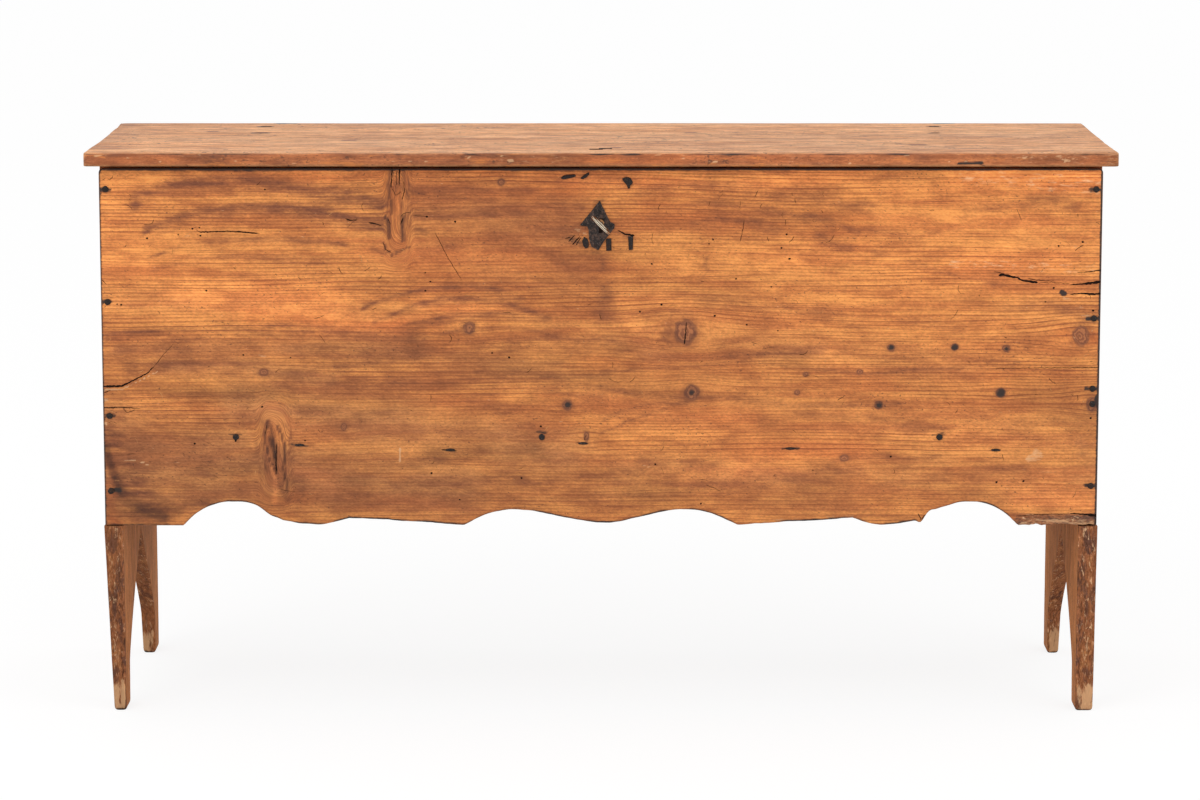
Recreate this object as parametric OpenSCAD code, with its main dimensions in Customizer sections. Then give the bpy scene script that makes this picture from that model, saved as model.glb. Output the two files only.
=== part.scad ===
// Six-board blanket chest with bootjack feet, a scalloped front board,
// strap hinges and an iron chest lock with its key.
// Millimetres. X runs along the chest, +Y to the back, +Z up, floor at Z = 0.

/* [Case] */
// Width over the two end boards
case_w = 1284; // [1000:1:1600]
// Depth from the front board's face to the back board's face
case_d = 386; // [320:1:520]
// Height of the feet below the front board
leg_h = 244; // [180:1:320]
// Height of the front board at its ends
front_h = 465; // [400:1:560]
// Gap between the front board's top edge and the lid
lid_gap = 3; // [1:0.5:6]
// Thickness of the end boards
end_t = 25; // [20:0.5:32]
// Thickness of the front board
front_t = 22; // [16:0.5:28]
// Thickness of the back board
back_t = 20; // [16:0.5:28]
// Thickness of the bottom board
bottom_t = 24; // [16:0.5:28]
// Height of the bottom board's underside above the front board's lower edge
bottom_rise = 96; // [50:1:160]
// Depth of the housings that hold the bottom board in the end boards
housing_d = 8; // [4:0.5:12]
// How far the feet stand forward of the front board
foot_proud = 2; // [0:0.5:4]
// How far the front and back boards stop short of the end boards' faces
board_inset = 1.5; // [0:0.5:4]

/* [Feet] */
// Width of a foot where it stands on the floor
foot_w = 47; // [36:1:80]
// Height of the straight stretch at the bottom of a foot
foot_straight_h = 54; // [20:1:80]
// Height of the point of the cut between the feet
cut_top = 204; // [150:1:230]
// Taper of the left front foot's outer face
taper_left_front = 9; // [0:0.5:12]
// Taper of the left back foot's outer face
taper_left_back = 8; // [0:0.5:12]
// Taper of the right front foot's outer face
taper_right_front = 2; // [0:0.5:12]
// Taper of the right back foot's outer face
taper_right_back = 9; // [0:0.5:12]

/* [Scalloped edge] */
// Half width of the middle lobe, to the tops of the middle arches
lobe_half = 112; // [90:1:125]
// Rise of the middle arches above the board's lower edge
middle_rise = 21.3; // [10:0.1:30]
// Rise of the middle lobe's lowest point
lobe_rise = 4; // [0:0.5:8]
// Width of a middle arch's outer side
middle_side = 65; // [50:1:75]
// Length of the long sloping stretch
slope_l = 148; // [120:1:160]
// Rise of the sloping stretch's outer end
slope_rise = 10; // [4:0.5:14]
// Half width of an outer lobe
outer_lobe_half = 43; // [30:1:48]
// Rise of the cusp between an outer lobe and an end arch
cusp_rise = 7.5; // [4:0.5:12]
// Width of an end arch's inner side
end_arch_in = 63; // [50:1:70]
// Width of an end arch's outer side
end_arch_out = 65; // [50:1:72]
// Rise of the end arches
end_arch_rise = 31.5; // [16:0.5:45]
// Length of the flat stretch at each end of the edge; the scallops are spread to fill the rest
end_flat = 101.5; // [60:0.5:140]

/* [Lid] */
// Thickness of the lid
lid_t = 18; // [14:0.5:26]
// Overhang of the lid at each end
lid_side = 18; // [5:0.5:40]
// Overhang of the lid at the front
lid_front = 20; // [5:0.5:40]
// Overhang of the lid at the back
lid_back = 18; // [14:0.5:20]
// Rounding of the lid's top front edge
lid_round = 5; // [2:0.5:8]

/* [Hinges] */
// Distance of each hinge from the end of the case
hinge_in = 192; // [100:1:300]
// Thickness of the hinge iron
iron_t = 3; // [2:0.25:3.5]
// Radius of the hinge pins
pin_r = 3; // [2:0.25:3.5]
// Radial clearance of the pins in the eyes
pin_clear = 0.05; // [0.02:0.01:0.1]
// Width of the strap's eye
strap_eye_w = 12; // [8:0.5:16]
// Width of each of the leaf's two eyes
leaf_eye_w = 9; // [6:0.5:12]
// Gap between neighbouring eyes
eye_gap = 0.3; // [0.2:0.05:0.6]
// Width of the strap at its root
strap_w = 26; // [22:1:30]
// Width of the strap at its neck
strap_tip_w = 12; // [8:1:16]
// Length of the strap in front of the back board's face
strap_l = 190; // [188:1:220]
// Radius of the strap's round end
strap_end_r = 10; // [8:0.5:14]
// Height of the leaf below the top of the case
leaf_h = 118; // [112:1:140]

/* [Nails] */
// Width of a nail's shank
nail_w = 3.6; // [2.5:0.1:4.5]
// Length of the nails that join the boards
nail_l = 56; // [45:1:70]
// Radius of a nail's head
nail_head_r = 4.6; // [3:0.1:5.5]
// Height of a nail's head
nail_head_h = 2; // [1:0.1:3]
// Length of a clasp nail's head, along the grain
clasp_head_l = 14; // [8:0.5:18]
// Height of a clasp nail's head above the board
clasp_head_h = 1; // [0.6:0.1:2]
// Gap between a nail and the sides of its hole
nail_clear = 0.1; // [0.05:0.05:0.3]
// Width of the small nails' shanks
tack_w = 2; // [1.4:0.1:2.6]
// Length of the small nails
tack_l = 14; // [8:1:18]
// Radius of a small nail's head
tack_head_r = 2.3; // [1.6:0.1:3]
// Thickness of a clenched nail tip
clench_t = 1.3; // [0.8:0.1:2]

/* [Lock] */
// Depth of the key's axis below the top of the case
key_drop = 72; // [70:1:80]
// Width of the lock plate
plate_w = 94; // [94:1:120]
// Thickness of the lock plate
plate_t = 2.5; // [1.5:0.1:4]
// Distance from the key's axis down to the lock plate's lower edge
plate_below = 30; // [28:1:40]
// Distance from the lock plate's upper edge up to the front board's top
plate_lip = 3; // [1:0.5:4]
// Depth inside the lock's cap
cap_depth = 20; // [18:0.5:26]
// Thickness of the cap's walls
cap_wall = 1.8; // [1:0.1:2.5]
// Half width of the cap
cap_half = 37; // [36.8:0.1:38.4]
// Length of the key's bit, from the key's axis
bit_r = 13; // [12:0.1:13.5]
// Thickness of the bit
bit_t = 3.5; // [2.5:0.1:4]
// Thickness of the bolt
bolt_t = 4; // [3:0.1:5]
// Gap between the bolt and the pieces that guide it
bolt_clear = 0.35; // [0.2:0.05:0.6]
// Depth that the lid's staple reaches into the lock
staple_drop = 26; // [24:0.5:28]
// Width of the staple's iron along the chest
staple_w = 5; // [4:0.5:5.5]
// Thickness of the staple's iron from front to back
staple_t = 3.5; // [2.5:0.1:4]
// Opening of the staple from front to back
staple_gap = 8; // [7:0.1:9]

/* [Key] */
// Radius of the key's shank
shank_r = 3.25; // [3:0.05:3.5]
// Radius of the pin that the hollow shank turns on
post_r = 1.5; // [1:0.05:1.7]
// Distance from the front board's face to the middle of the bow
bow_reach = 42; // [36:1:60]
// Radius of the bow's ring, to the middle of its iron
bow_r = 13.5; // [11:0.1:15]
// Radius of the bow's iron
bow_iron_r = 2.2; // [1.5:0.1:2.6]
// Angle from upright at which the key rests
key_rest = 45; // [40:1:50]

/* [Escutcheon] */
// Height of the escutcheon
escutcheon_h = 64; // [60:1:72]
// Thickness of the escutcheon
escutcheon_t = 1.6; // [1:0.1:2.5]
// Radius of the keyhole's round part
keyhole_r = 4.2; // [4:0.1:4.8]
// Width of the keyhole's slot
keyhole_w = 5; // [4.6:0.1:6]

/* [Hidden] */
$fn = 48;
cut = 1; // extra length of a cutting tool past a face

// Levels
case_top = leg_h + front_h + lid_gap;
bottom_z = leg_h + bottom_rise;
key_z = case_top - key_drop;

// Depths. The key's bow and the lid's back edge are the part's ends, and the origin is between them.
key_reach = bow_reach + bow_r + bow_iron_r;
front_y = (key_reach - case_d - lid_back) / 2;
front_in = front_y + front_t;
back_y = front_y + case_d;
back_in = back_y - back_t;
end_in = case_w / 2 - end_t;

// Hinge axis
hinge_x = case_w / 2 - hinge_in;
eye_r = pin_r + iron_t;
axis_y = back_y + eye_r;
axis_z = case_top + eye_r - iron_t;
knuckle_w = strap_eye_w + 2 * (leaf_eye_w + eye_gap);
pin_head_r = pin_r * 1.4;
pin_head_t = 1.5;
pin_play = 0.2; // along the hinge, at each end
notch_gap = 1.5; // between the knuckle and the lid
notch_w = knuckle_w + 2 * (pin_head_t + pin_play + notch_gap);
notch_in = eye_r + notch_gap;
gain_clear = 0.4; // between a strap and the notch in the back board
strap_nail_y = [for (k = [0.19, 0.43, 0.69, 0.937]) k * strap_l]; // in front of the back board's face
leaf_nail_z = [for (k = [0.2, 0.525, 0.83]) k * leaf_h]; // below the top of the case
leaf_nail_bite = 15;
leaf_nail_l = iron_t + leaf_nail_bite;
strap_clench_l = 12;

// Nails in the boards
nail_inset = 10; // from an end board's outer face
front_nail_left_z = [for (k = [0.099, 0.31, 0.628, 0.94]) k * front_h]; // above the lower edge
front_nail_right_z = [for (k = [0.114, 0.344, 0.387, 0.583, 0.94]) k * front_h];
back_nail_z = [for (k = [0.086, 0.366, 0.645, 0.925]) k * front_h];
bottom_nails_x = [for (k = [-0.366, -0.0592, 0.3396]) k * case_w];
bottom_nails_at = 0.86; // share of the bottom board's thickness
clasp_nails_x = [for (k = [-0.3022, -0.1511, -0.0179, 0.19, 0.3964]) k * case_w];
clasp_nails_at = [0.42, 0.16, 0.52, 0.24, 0.16];
back_bottom_nail_x = [for (k = [-2:2]) k * 0.187 * case_w];

// Feet
foot_in = 2; // by which the straight stretch leans
foot_bend = [10, 32]; // from the top of the straight stretch to the curve's middle point

// Lock, seen from the front: x to the right and z up, from the key's axis
plate_in = front_in + plate_t;
bolt_gap = 7.5; // between the lock plate and the bolt
bolt_y = plate_in + bolt_gap + bolt_t / 2;
turn_clear = 3; // between the turning bit and the cap
cap_bottom = bit_r + turn_clear;
plate_above = key_drop - lid_gap - plate_lip;
cap_above = plate_above - 2;
throw = 2 * bit_r * sin(45);
edge_gap = 0.6; // between the resting bit's tip and the bolt's lower edge
edge_z = bit_r * cos(45) + edge_gap;
talon_side = 1.45; // between the bit and the talon's sides
talon_w = bit_t + 2 * talon_side;
talon_head = 0.9; // between the bit and the talon's top
talon_top = bit_r + talon_head;
bar_h = 12;
bar_end_gap = 1; // between the bolt's ends and the cap, at each end of its travel
bar_left = -cap_half + cap_wall + bar_end_gap;
bar_right = cap_half - cap_wall - throw - bar_end_gap;
staple_gap_bolt = 1.5; // between the resting bolt and the staple
finger_tip = -staple_w / 2 - staple_gap_bolt;
arm_right = finger_tip - throw;
arm_w = 9.5;
finger_drop = 18; // below the case's top
finger_z = key_drop - finger_drop;
finger_h = 8;
staple_eye_h = 12;
staple_side = 2.5; // between the staple and the cap's mouth
staple_legs = [bolt_y - staple_gap / 2 - staple_t, bolt_y + staple_gap / 2]; // their front faces
guide_w = 3.8;
guide_wall = 1.5;
lock_nail_out = cap_half + nail_head_r * 0.8 + 0.8; // beside the cap
lock_nail_low = 7 - plate_below;
lock_nail_spots = [
    [-lock_nail_out, plate_above - 8], [lock_nail_out, plate_above - 14],
    [-21, lock_nail_low], [11.6, lock_nail_low], [cap_half + 3, lock_nail_low + 2]
];
clench_turns = [90, -135, 180, 180, 180]; // way that each tip lies, clockwise from upright
lock_clench_l = [17, 11, 12, 12, 13];
lock_nail_w = 3;
rivet_r = 1.6;
rivet_head_r = 2.8;
lug_w = 6;
lug_h = 12;
lug_z = 22;
staple_clench_l = 17;
tip_gap = 2.2; // between the key's tip and the cap
bit_gap = 2.5; // between the lock plate and the bit
bit_w = 13;
slit_w = 1.5; // the slit in the bit
slit_back = 4.5; // from the bit's back edge
slit_up = 3.5; // above the shank
collar_r = 4.3;
collar_l = 4;
slot_gap = 1.8; // between the bit and the keyhole's end
slot_end = bit_r + slot_gap;
board_gap = 0.5; // by which the board's keyhole is larger than the plates'
tack_shares = [[-0.02, 0.22], [-0.313, -0.055], [0.211, -0.078], [-0.102, -0.484]];
tack_spots = [for (p = tack_shares) p * escutcheon_h];

// The bowed spring: where it meets its block, and its height along the bolt
spring_block_w = 5;
spring_x = cap_half - cap_wall - spring_block_w - 0.5;
spring_gap = 0.4; // between the spring and the bolt
spring_low = edge_z + bar_h + spring_gap;
spring_rise = 15;
spring_t = 1;
spring_side = 1; // by which the spring is wider than the bolt, at each side
function spring_z(x) = spring_low + spring_rise * pow((x - 2) / (spring_x - 2), 2);

function lerp(a, b, t) = a + (b - a) * t;
function bezier(a, b, c, t) = lerp(lerp(a, b, t), lerp(b, c, t), t);
function steps(n) = [for (i = [1:n]) i / n];

// Half of the scalloped edge, from the middle out: [x, height above the board's lower edge].
// The stretches are spread in proportion, so that they fill the board between its flat ends.
board_half = case_w / 2 - board_inset;
edge_low = 1.3; // rise of the edge's low points
slope_x = lobe_half + middle_side;
lobe_x = slope_x + slope_l;
cusp_x = lobe_x + 2 * outer_lobe_half;
arch_x = cusp_x + end_arch_in;
scallop_drawn = concat(
    [[0, lobe_rise]],
    [for (t = steps(8)) [lobe_half * t, lerp(lobe_rise, middle_rise, (1 - cos(180 * t)) / 2)]],
    [for (t = steps(6)) [lobe_half + middle_side * t, lerp(edge_low, middle_rise, cos(90 * t))]],
    [[lobe_x, slope_rise]],
    [for (t = steps(5)) [lobe_x + outer_lobe_half * t, lerp(edge_low, slope_rise, 1 - sin(90 * t))]],
    [for (t = steps(5)) [lobe_x + outer_lobe_half * (1 + t), lerp(edge_low, cusp_rise, 1 - cos(90 * t))]],
    [for (t = steps(7)) [cusp_x + end_arch_in * t, lerp(cusp_rise, end_arch_rise, 1 - pow(1 - t, 2))]],
    [for (t = steps(9)) [arch_x + end_arch_out * t, end_arch_rise * (1 - pow(t, 2.4))]]
);
spread = (board_half - end_flat) / (arch_x + end_arch_out);
scallop = [for (p = scallop_drawn) [p[0] * spread, p[1]]];

// A cut nail along -Z with its head on the plane z = 0: two sides taper and two are parallel
module nail(l, w, head_r, head_h) {
    rotate([90, 0, 0])
        translate([0, 0, -w / 2])
            linear_extrude(w)
                polygon([[-w / 2, 0.01], [w / 2, 0.01], [w / 4, -l], [-w / 4, -l]]);
    cylinder(h = head_h, r1 = head_r, r2 = head_r * 0.4);
}

// The hole for such a nail
module nail_hole(l, w) {
    side = w + 2 * nail_clear;
    translate([-side / 2, -side / 2, -l - 0.5])
        cube([side, side, l + 0.5 + cut]);
}

// A cut nail with a long narrow head that lies along the grain
module clasp_nail() {
    nail(nail_l, nail_w, nail_w / 2, clasp_head_h / 2);
    translate([-clasp_head_l / 2, -nail_w / 2, 0]) cube([clasp_head_l, nail_w, clasp_head_h]);
}

// Turns a nail so that it is driven from the front, or from the back
module from_front(x, z) { translate([x, front_y, z]) rotate([90, 0, 0]) children(); }
module from_back(x, z) { translate([x, back_y, z]) rotate([-90, 0, 0]) children(); }

module at_front_nails() {
    x = case_w / 2 - nail_inset;
    for (z = front_nail_left_z) from_front(-x, leg_h + z) children();
    for (z = front_nail_right_z) from_front(x, leg_h + z) children();
}

module at_back_nails() {
    for (side = [-1, 1], z = back_nail_z)
        from_back(side * (case_w / 2 - nail_inset), leg_h + z) children();
}

module at_front_bottom_nails() {
    for (x = bottom_nails_x) from_front(x, bottom_z + bottom_t * bottom_nails_at) children();
}

module at_clasp_nails() {
    for (i = [0:len(clasp_nails_x) - 1])
        from_front(clasp_nails_x[i], bottom_z + bottom_t * clasp_nails_at[i]) children();
}

module at_back_bottom_nails() {
    for (x = back_bottom_nail_x) from_back(x, bottom_z + bottom_t / 2) children();
}

module at_lock_nails() {
    for (i = [0:len(lock_nail_spots) - 1])
        translate([lock_nail_spots[i][0], plate_in, key_z + lock_nail_spots[i][1]]) {
            $turn = clench_turns[i];
            $tip_l = lock_clench_l[i];
            children();
        }
}

module at_tacks() {
    for (spot = tack_spots)
        translate([spot[0], front_y - escutcheon_t, key_z + spot[1]]) rotate([90, 0, 0]) children();
}

// A keyhole through a plate that lies in the XZ plane, from y = 0 back to y = depth
module keyhole(depth, extra) {
    rotate([-90, 0, 0]) {
        cylinder(h = depth, r = keyhole_r + extra);
        translate([-keyhole_w / 2 - extra, 0, 0])
            cube([keyhole_w + 2 * extra, slot_end + extra, depth]);
    }
}

module key_tunnel() {
    translate([0, front_y - cut, key_z]) keyhole(front_t + 2 * cut, board_gap);
}

module front_board() {
    edge = [for (p = scallop) [p[0], leg_h + p[1]]];
    last = len(edge) - 1;
    color("chocolate")
        difference() {
            translate([0, front_in, 0])
                rotate([90, 0, 0])
                    linear_extrude(front_t)
                        polygon(concat(
                            [[-board_half, leg_h + front_h], [-board_half, leg_h]],
                            [for (i = [last:-1:1]) [-edge[i][0], edge[i][1]]],
                            edge,
                            [[board_half, leg_h], [board_half, leg_h + front_h]]
                        ));
            at_front_nails() nail_hole(nail_l, nail_w);
            at_front_bottom_nails() nail_hole(nail_l, nail_w);
            at_clasp_nails() nail_hole(nail_l, nail_w);
            at_lock_nails() rotate([-90, 0, 0]) nail_hole_through();
            at_tacks() nail_hole(tack_l, tack_w);
            key_tunnel();
        }
}

// The way of a lock nail through the plate and the front board
module nail_hole_through() {
    side = lock_nail_w + 2 * nail_clear;
    depth = front_t + plate_t;
    translate([-side / 2, -side / 2, -depth - cut]) cube([side, side, depth + 2 * cut]);
}

module back_board() {
    color("peru")
        difference() {
            translate([-board_half, back_in, leg_h]) cube([2 * board_half, back_t, case_top - leg_h]);
            at_back_nails() nail_hole(nail_l, nail_w);
            at_back_bottom_nails() nail_hole(nail_l, nail_w);
            for (side = [-1, 1])
                translate([side * hinge_x, 0, 0]) {
                    strap_gain();
                    leaf_nail_holes();
                }
        }
}

// The shallow notch that a strap crosses in the back board's top edge
module strap_gain() {
    w = strap_w + 2;
    d = iron_t + gain_clear;
    translate([-w / 2, back_in - cut, case_top - d]) cube([w, back_t + 2 * cut, d + cut]);
}

// One end board in its own plane: y from the front face, z up
module end_outline() {
    front_edge = -foot_proud;
    back_edge = case_d + foot_proud;
    middle = case_d / 2;
    a = [foot_w, foot_straight_h];
    b = [foot_w + foot_bend[0], foot_straight_h + foot_bend[1]];
    c = [middle, cut_top];
    side = [for (t = [0:0.125:1]) bezier(a, b, c, t)];
    last = len(side) - 1;
    polygon(concat(
        [[front_edge, 0], [foot_w - foot_in, 0]],
        side,
        [for (i = [last - 1:-1:0]) [case_d - side[i][0], side[i][1]]],
        [[case_d - foot_w + foot_in, 0], [back_edge, 0], [back_edge, leg_h], [case_d - back_t, leg_h]],
        [[case_d - back_t, case_top], [front_t, case_top], [front_t, leg_h], [front_edge, leg_h]]
    ));
}

// side is -1 for the left end and 1 for the right
module end_board(side, taper_front, taper_back) {
    color("sienna")
        difference() {
            translate([side > 0 ? end_in : -case_w / 2, front_y, 0])
                rotate([90, 0, 90])
                    linear_extrude(end_t) end_outline();
            taper_cut(side, taper_front, -foot_proud - cut, case_d / 2 + foot_proud + cut);
            taper_cut(side, taper_back, case_d / 2, case_d / 2 + foot_proud + cut);
            translate([side > 0 ? end_in - cut : -end_in - housing_d, front_in - cut, bottom_z])
                cube([housing_d + cut, case_d - front_t - back_t + 2 * cut, bottom_t]);
            at_front_nails() nail_hole(nail_l, nail_w);
            at_back_nails() nail_hole(nail_l, nail_w);
        }
}

// The wedge that a tapered foot loses from its outer face
module taper_cut(side, taper, from_y, length) {
    if (taper > 0)
        translate([side * case_w / 2, front_y + from_y + length, 0])
            rotate([90, 0, 0])
                linear_extrude(length)
                    polygon([[0, leg_h], [side * cut, leg_h], [side * cut, -cut],
                             [-side * taper * (1 + cut / leg_h), -cut]]);
}

module bottom_board() {
    half = end_in + housing_d;
    color("burlywood")
        difference() {
            translate([-half, front_in, bottom_z]) cube([2 * half, case_d - front_t - back_t, bottom_t]);
            at_front_bottom_nails() nail_hole(nail_l, nail_w);
            at_clasp_nails() nail_hole(nail_l, nail_w);
            at_back_bottom_nails() nail_hole(nail_l, nail_w);
        }
}

module lid_board() {
    half = case_w / 2 + lid_side;
    front = front_y - lid_front;
    back = back_y + lid_back;
    top = case_top + lid_t;
    r = lid_round;
    color("tan")
        difference() {
            translate([-half, 0, 0])
                rotate([90, 0, 90])
                    linear_extrude(2 * half)
                        polygon(concat(
                            [[back, top], [back, case_top], [front, case_top]],
                            [for (a = [0:15:90]) [front + r * (1 - cos(a)), top - r * (1 - sin(a))]]
                        ));
            for (side = [-1, 1]) {
                translate([side * hinge_x - notch_w / 2, axis_y - notch_in, case_top - cut])
                    cube([notch_w, lid_back + notch_in, lid_t + 2 * cut]);
                translate([side * hinge_x, 0, 0]) at_strap_nails() strap_nail_hole();
                translate([side * hinge_x, 0, 0]) at_strap_nails() strap_tip(nail_clear, cut);
            }
            for (i = [0, 1]) {
                translate([-staple_w / 2 - nail_clear, staple_legs[i] - nail_clear, case_top - cut])
                    cube([staple_w + 2 * nail_clear, staple_t + 2 * nail_clear, lid_t + 2 * cut]);
                staple_tip(i, nail_clear, cut);
            }
        }
}

module front_nails() {
    color("dimgray") at_front_nails() nail(nail_l, nail_w, nail_head_r, nail_head_h);
}

module front_bottom_nails() {
    color("dimgray") at_front_bottom_nails() nail(nail_l, nail_w, nail_head_r, nail_head_h);
}

module clasp_nails() {
    color("dimgray") at_clasp_nails() clasp_nail();
}

module back_nails() {
    color("dimgray") at_back_nails() nail(nail_l, nail_w, nail_head_r, nail_head_h);
}

module back_bottom_nails() {
    color("dimgray") at_back_bottom_nails() nail(nail_l, nail_w, nail_head_r, nail_head_h);
}

// Nail places on a strap, pointing up through the lid. The hinge is at x = 0.
module at_strap_nails() {
    for (y = strap_nail_y) translate([0, back_y - y, case_top - iron_t]) children();
}

module strap_nail_hole() {
    side = lock_nail_w + 2 * nail_clear;
    translate([-side / 2, -side / 2, -cut]) cube([side, side, iron_t + lid_t + 2 * cut]);
}

// The turned-over tip of a strap nail, let into the lid's top. A gap round it makes its groove.
module strap_tip(gap, over) {
    translate([-lock_nail_w / 2 - gap, -lock_nail_w / 2 - gap, iron_t + lid_t - clench_t])
        cube([strap_clench_l + 2 * gap, lock_nail_w + 2 * gap, clench_t + over]);
}

// The turned-over tip of one of the staple's legs, let into the lid's top
module staple_tip(i, gap, over) {
    x = i == 0 ? -staple_clench_l + staple_w / 2 : -staple_w / 2;
    translate([x - gap, staple_legs[i] - gap, case_top + lid_t - clench_t])
        cube([staple_clench_l + 2 * gap, staple_t + 2 * gap, clench_t + over]);
}

// An eye of a hinge, round the hinge axis, from x0 over width w
module eye(x0, w) {
    translate([x0, axis_y, axis_z]) rotate([0, 90, 0]) cylinder(h = w, r = eye_r);
}

module eye_bore() {
    translate([-knuckle_w, axis_y, axis_z])
        rotate([0, 90, 0])
            cylinder(h = 2 * knuckle_w, r = pin_r + pin_clear);
}

// The long iron under the lid, with its eye between the leaf's two eyes
module hinge_strap() {
    color("darkslategray")
        difference() {
            union() {
                translate([0, back_y, case_top - iron_t])
                    linear_extrude(iron_t) {
                        polygon([
                            [-strap_w / 2, eye_r - notch_in],
                            [strap_w / 2, eye_r - notch_in],
                            [strap_tip_w / 2, strap_end_r - strap_l],
                            [-strap_tip_w / 2, strap_end_r - strap_l]
                        ]);
                        translate([0, strap_end_r - strap_l]) circle(strap_end_r);
                    }
                translate([-strap_eye_w / 2, axis_y - notch_in - cut, case_top - iron_t])
                    cube([strap_eye_w, notch_in + cut, iron_t]);
                eye(-strap_eye_w / 2, strap_eye_w);
            }
            eye_bore();
            at_strap_nails() strap_nail_hole();
        }
}

module at_leaf_nails() {
    for (z = leaf_nail_z)
        translate([0, back_y + iron_t, case_top - z]) rotate([-90, 0, 0]) children();
}

module leaf_nail_holes() {
    at_leaf_nails() nail_hole(leaf_nail_l, lock_nail_w);
}

// The iron on the outside of the back board
module hinge_leaf() {
    slot_w = strap_eye_w + 2 * eye_gap;
    color("darkslategray")
        difference() {
            union() {
                translate([-knuckle_w / 2, back_y, case_top - leaf_h])
                    cube([knuckle_w, iron_t, axis_z - case_top + leaf_h]);
                for (x = [-knuckle_w / 2, knuckle_w / 2 - leaf_eye_w]) eye(x, leaf_eye_w);
            }
            translate([-slot_w / 2, back_y - cut, axis_z - eye_r - notch_gap])
                cube([slot_w, iron_t + 2 * cut, 2 * eye_r]);
            eye_bore();
            leaf_nail_holes();
        }
}

module hinge_pin() {
    color("gray")
        translate([0, axis_y, axis_z])
            rotate([0, 90, 0]) {
                cylinder(h = knuckle_w + 2 * pin_play, r = pin_r, center = true);
                for (end = [-1, 1])
                    translate([0, 0, end * (knuckle_w / 2 + pin_play + pin_head_t / 2)])
                        cylinder(h = pin_head_t, r = pin_head_r, center = true);
            }
}

// Nails driven up through a strap and the lid, with their tips turned over on the lid
module strap_nails() {
    l = iron_t + lid_t;
    color("dimgray")
        for (side = [-1, 1])
            translate([side * hinge_x, 0, 0])
                at_strap_nails() {
                    translate([-lock_nail_w / 2, -lock_nail_w / 2, -0.01])
                        cube([lock_nail_w, lock_nail_w, l - clench_t / 2 + 0.01]);
                    strap_tip(0, 0);
                    rotate([180, 0, 0]) cylinder(h = nail_head_h, r1 = nail_head_r, r2 = nail_head_r * 0.4);
                }
}

module leaf_nails() {
    color("dimgray")
        for (side = [-1, 1])
            translate([side * hinge_x, 0, 0])
                at_leaf_nails() nail(leaf_nail_l, lock_nail_w, nail_head_r, nail_head_h);
}

// A plate cut by hand: a tall point above, a cusp on each side and a blunt tail below
module escutcheon() {
    top = [-0.02, 0.42];
    tail = [-0.05, -0.58];
    right_cusp = [[0.28, -0.055], [0.27, -0.13]];
    left_cusp = [[-0.27, -0.1], [-0.42, -0.078]];
    outline = concat(
        [for (t = steps(5)) bezier(top, [0.095, 0.155], [0.197, -0.016], t)],
        right_cusp,
        [for (t = steps(5)) bezier([0.21, -0.22], [0.11, -0.31], tail, t)],
        [for (t = steps(5)) bezier([-0.15, -0.584], [-0.258, -0.375], [-0.242, -0.17], t)],
        left_cusp,
        [for (t = steps(5)) bezier([-0.42, -0.078], [-0.25, 0.125], top, t)]
    );
    color("black")
        difference() {
            translate([0, front_y, key_z])
                rotate([90, 0, 0])
                    linear_extrude(escutcheon_t) polygon([for (p = outline) p * escutcheon_h]);
            translate([0, front_y - escutcheon_t - cut, key_z]) keyhole(escutcheon_t + 2 * cut, 0);
            at_tacks() nail_hole(tack_l, tack_w);
        }
}

module escutcheon_nails() {
    color("dimgray") at_tacks() nail(tack_l, tack_w, tack_head_r, 1);
}

module lock_plate() {
    color("slategray")
        difference() {
            union() {
                translate([-plate_w / 2, front_in, key_z - plate_below])
                    cube([plate_w, plate_t, plate_below + plate_above]);
                spring_block();
            }
            translate([0, front_in - cut, key_z]) keyhole(plate_t + 2 * cut, 0);
            at_lock_nails() rotate([-90, 0, 0]) nail_hole_through();
            at_rivets() rivet_hole();
        }
}

module spring_block() {
    translate([spring_x, plate_in - 0.01, key_z + spring_z(spring_x) - 2])
        cube([spring_block_w, bolt_y - plate_in + bolt_t / 2 + spring_side, 10]);
}

// The bowed leaf that presses on the bolt
module bolt_spring() {
    xs = [for (i = [0:10]) lerp(-1, spring_x, i / 10)];
    color("steelblue")
        translate([0, bolt_y + bolt_t / 2 + spring_side, key_z])
            rotate([90, 0, 0])
                linear_extrude(bolt_t + 2 * spring_side)
                    polygon(concat(
                        [for (x = xs) [x, spring_z(x)]],
                        [for (i = [10:-1:0]) [xs[i], spring_z(xs[i]) + spring_t]]
                    ));
}

module at_rivets() {
    for (side = [-1, 1])
        translate([side * (cap_half + lug_w / 2), plate_in, key_z + lug_z + lug_h / 2]) children();
}

module rivet_hole() {
    translate([0, -plate_t - cut, 0])
        rotate([-90, 0, 0])
            cylinder(h = plate_t + cap_wall + 2 * cut, r = rivet_r + pin_clear);
}

module cap_rivets() {
    color("gray")
        at_rivets() {
            translate([0, -plate_t, 0])
                rotate([-90, 0, 0]) cylinder(h = plate_t + cap_wall + 0.01, r = rivet_r);
            translate([0, cap_wall, 0])
                rotate([-90, 0, 0]) cylinder(h = 1.4, r1 = rivet_head_r, r2 = rivet_head_r * 0.6);
        }
}

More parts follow.
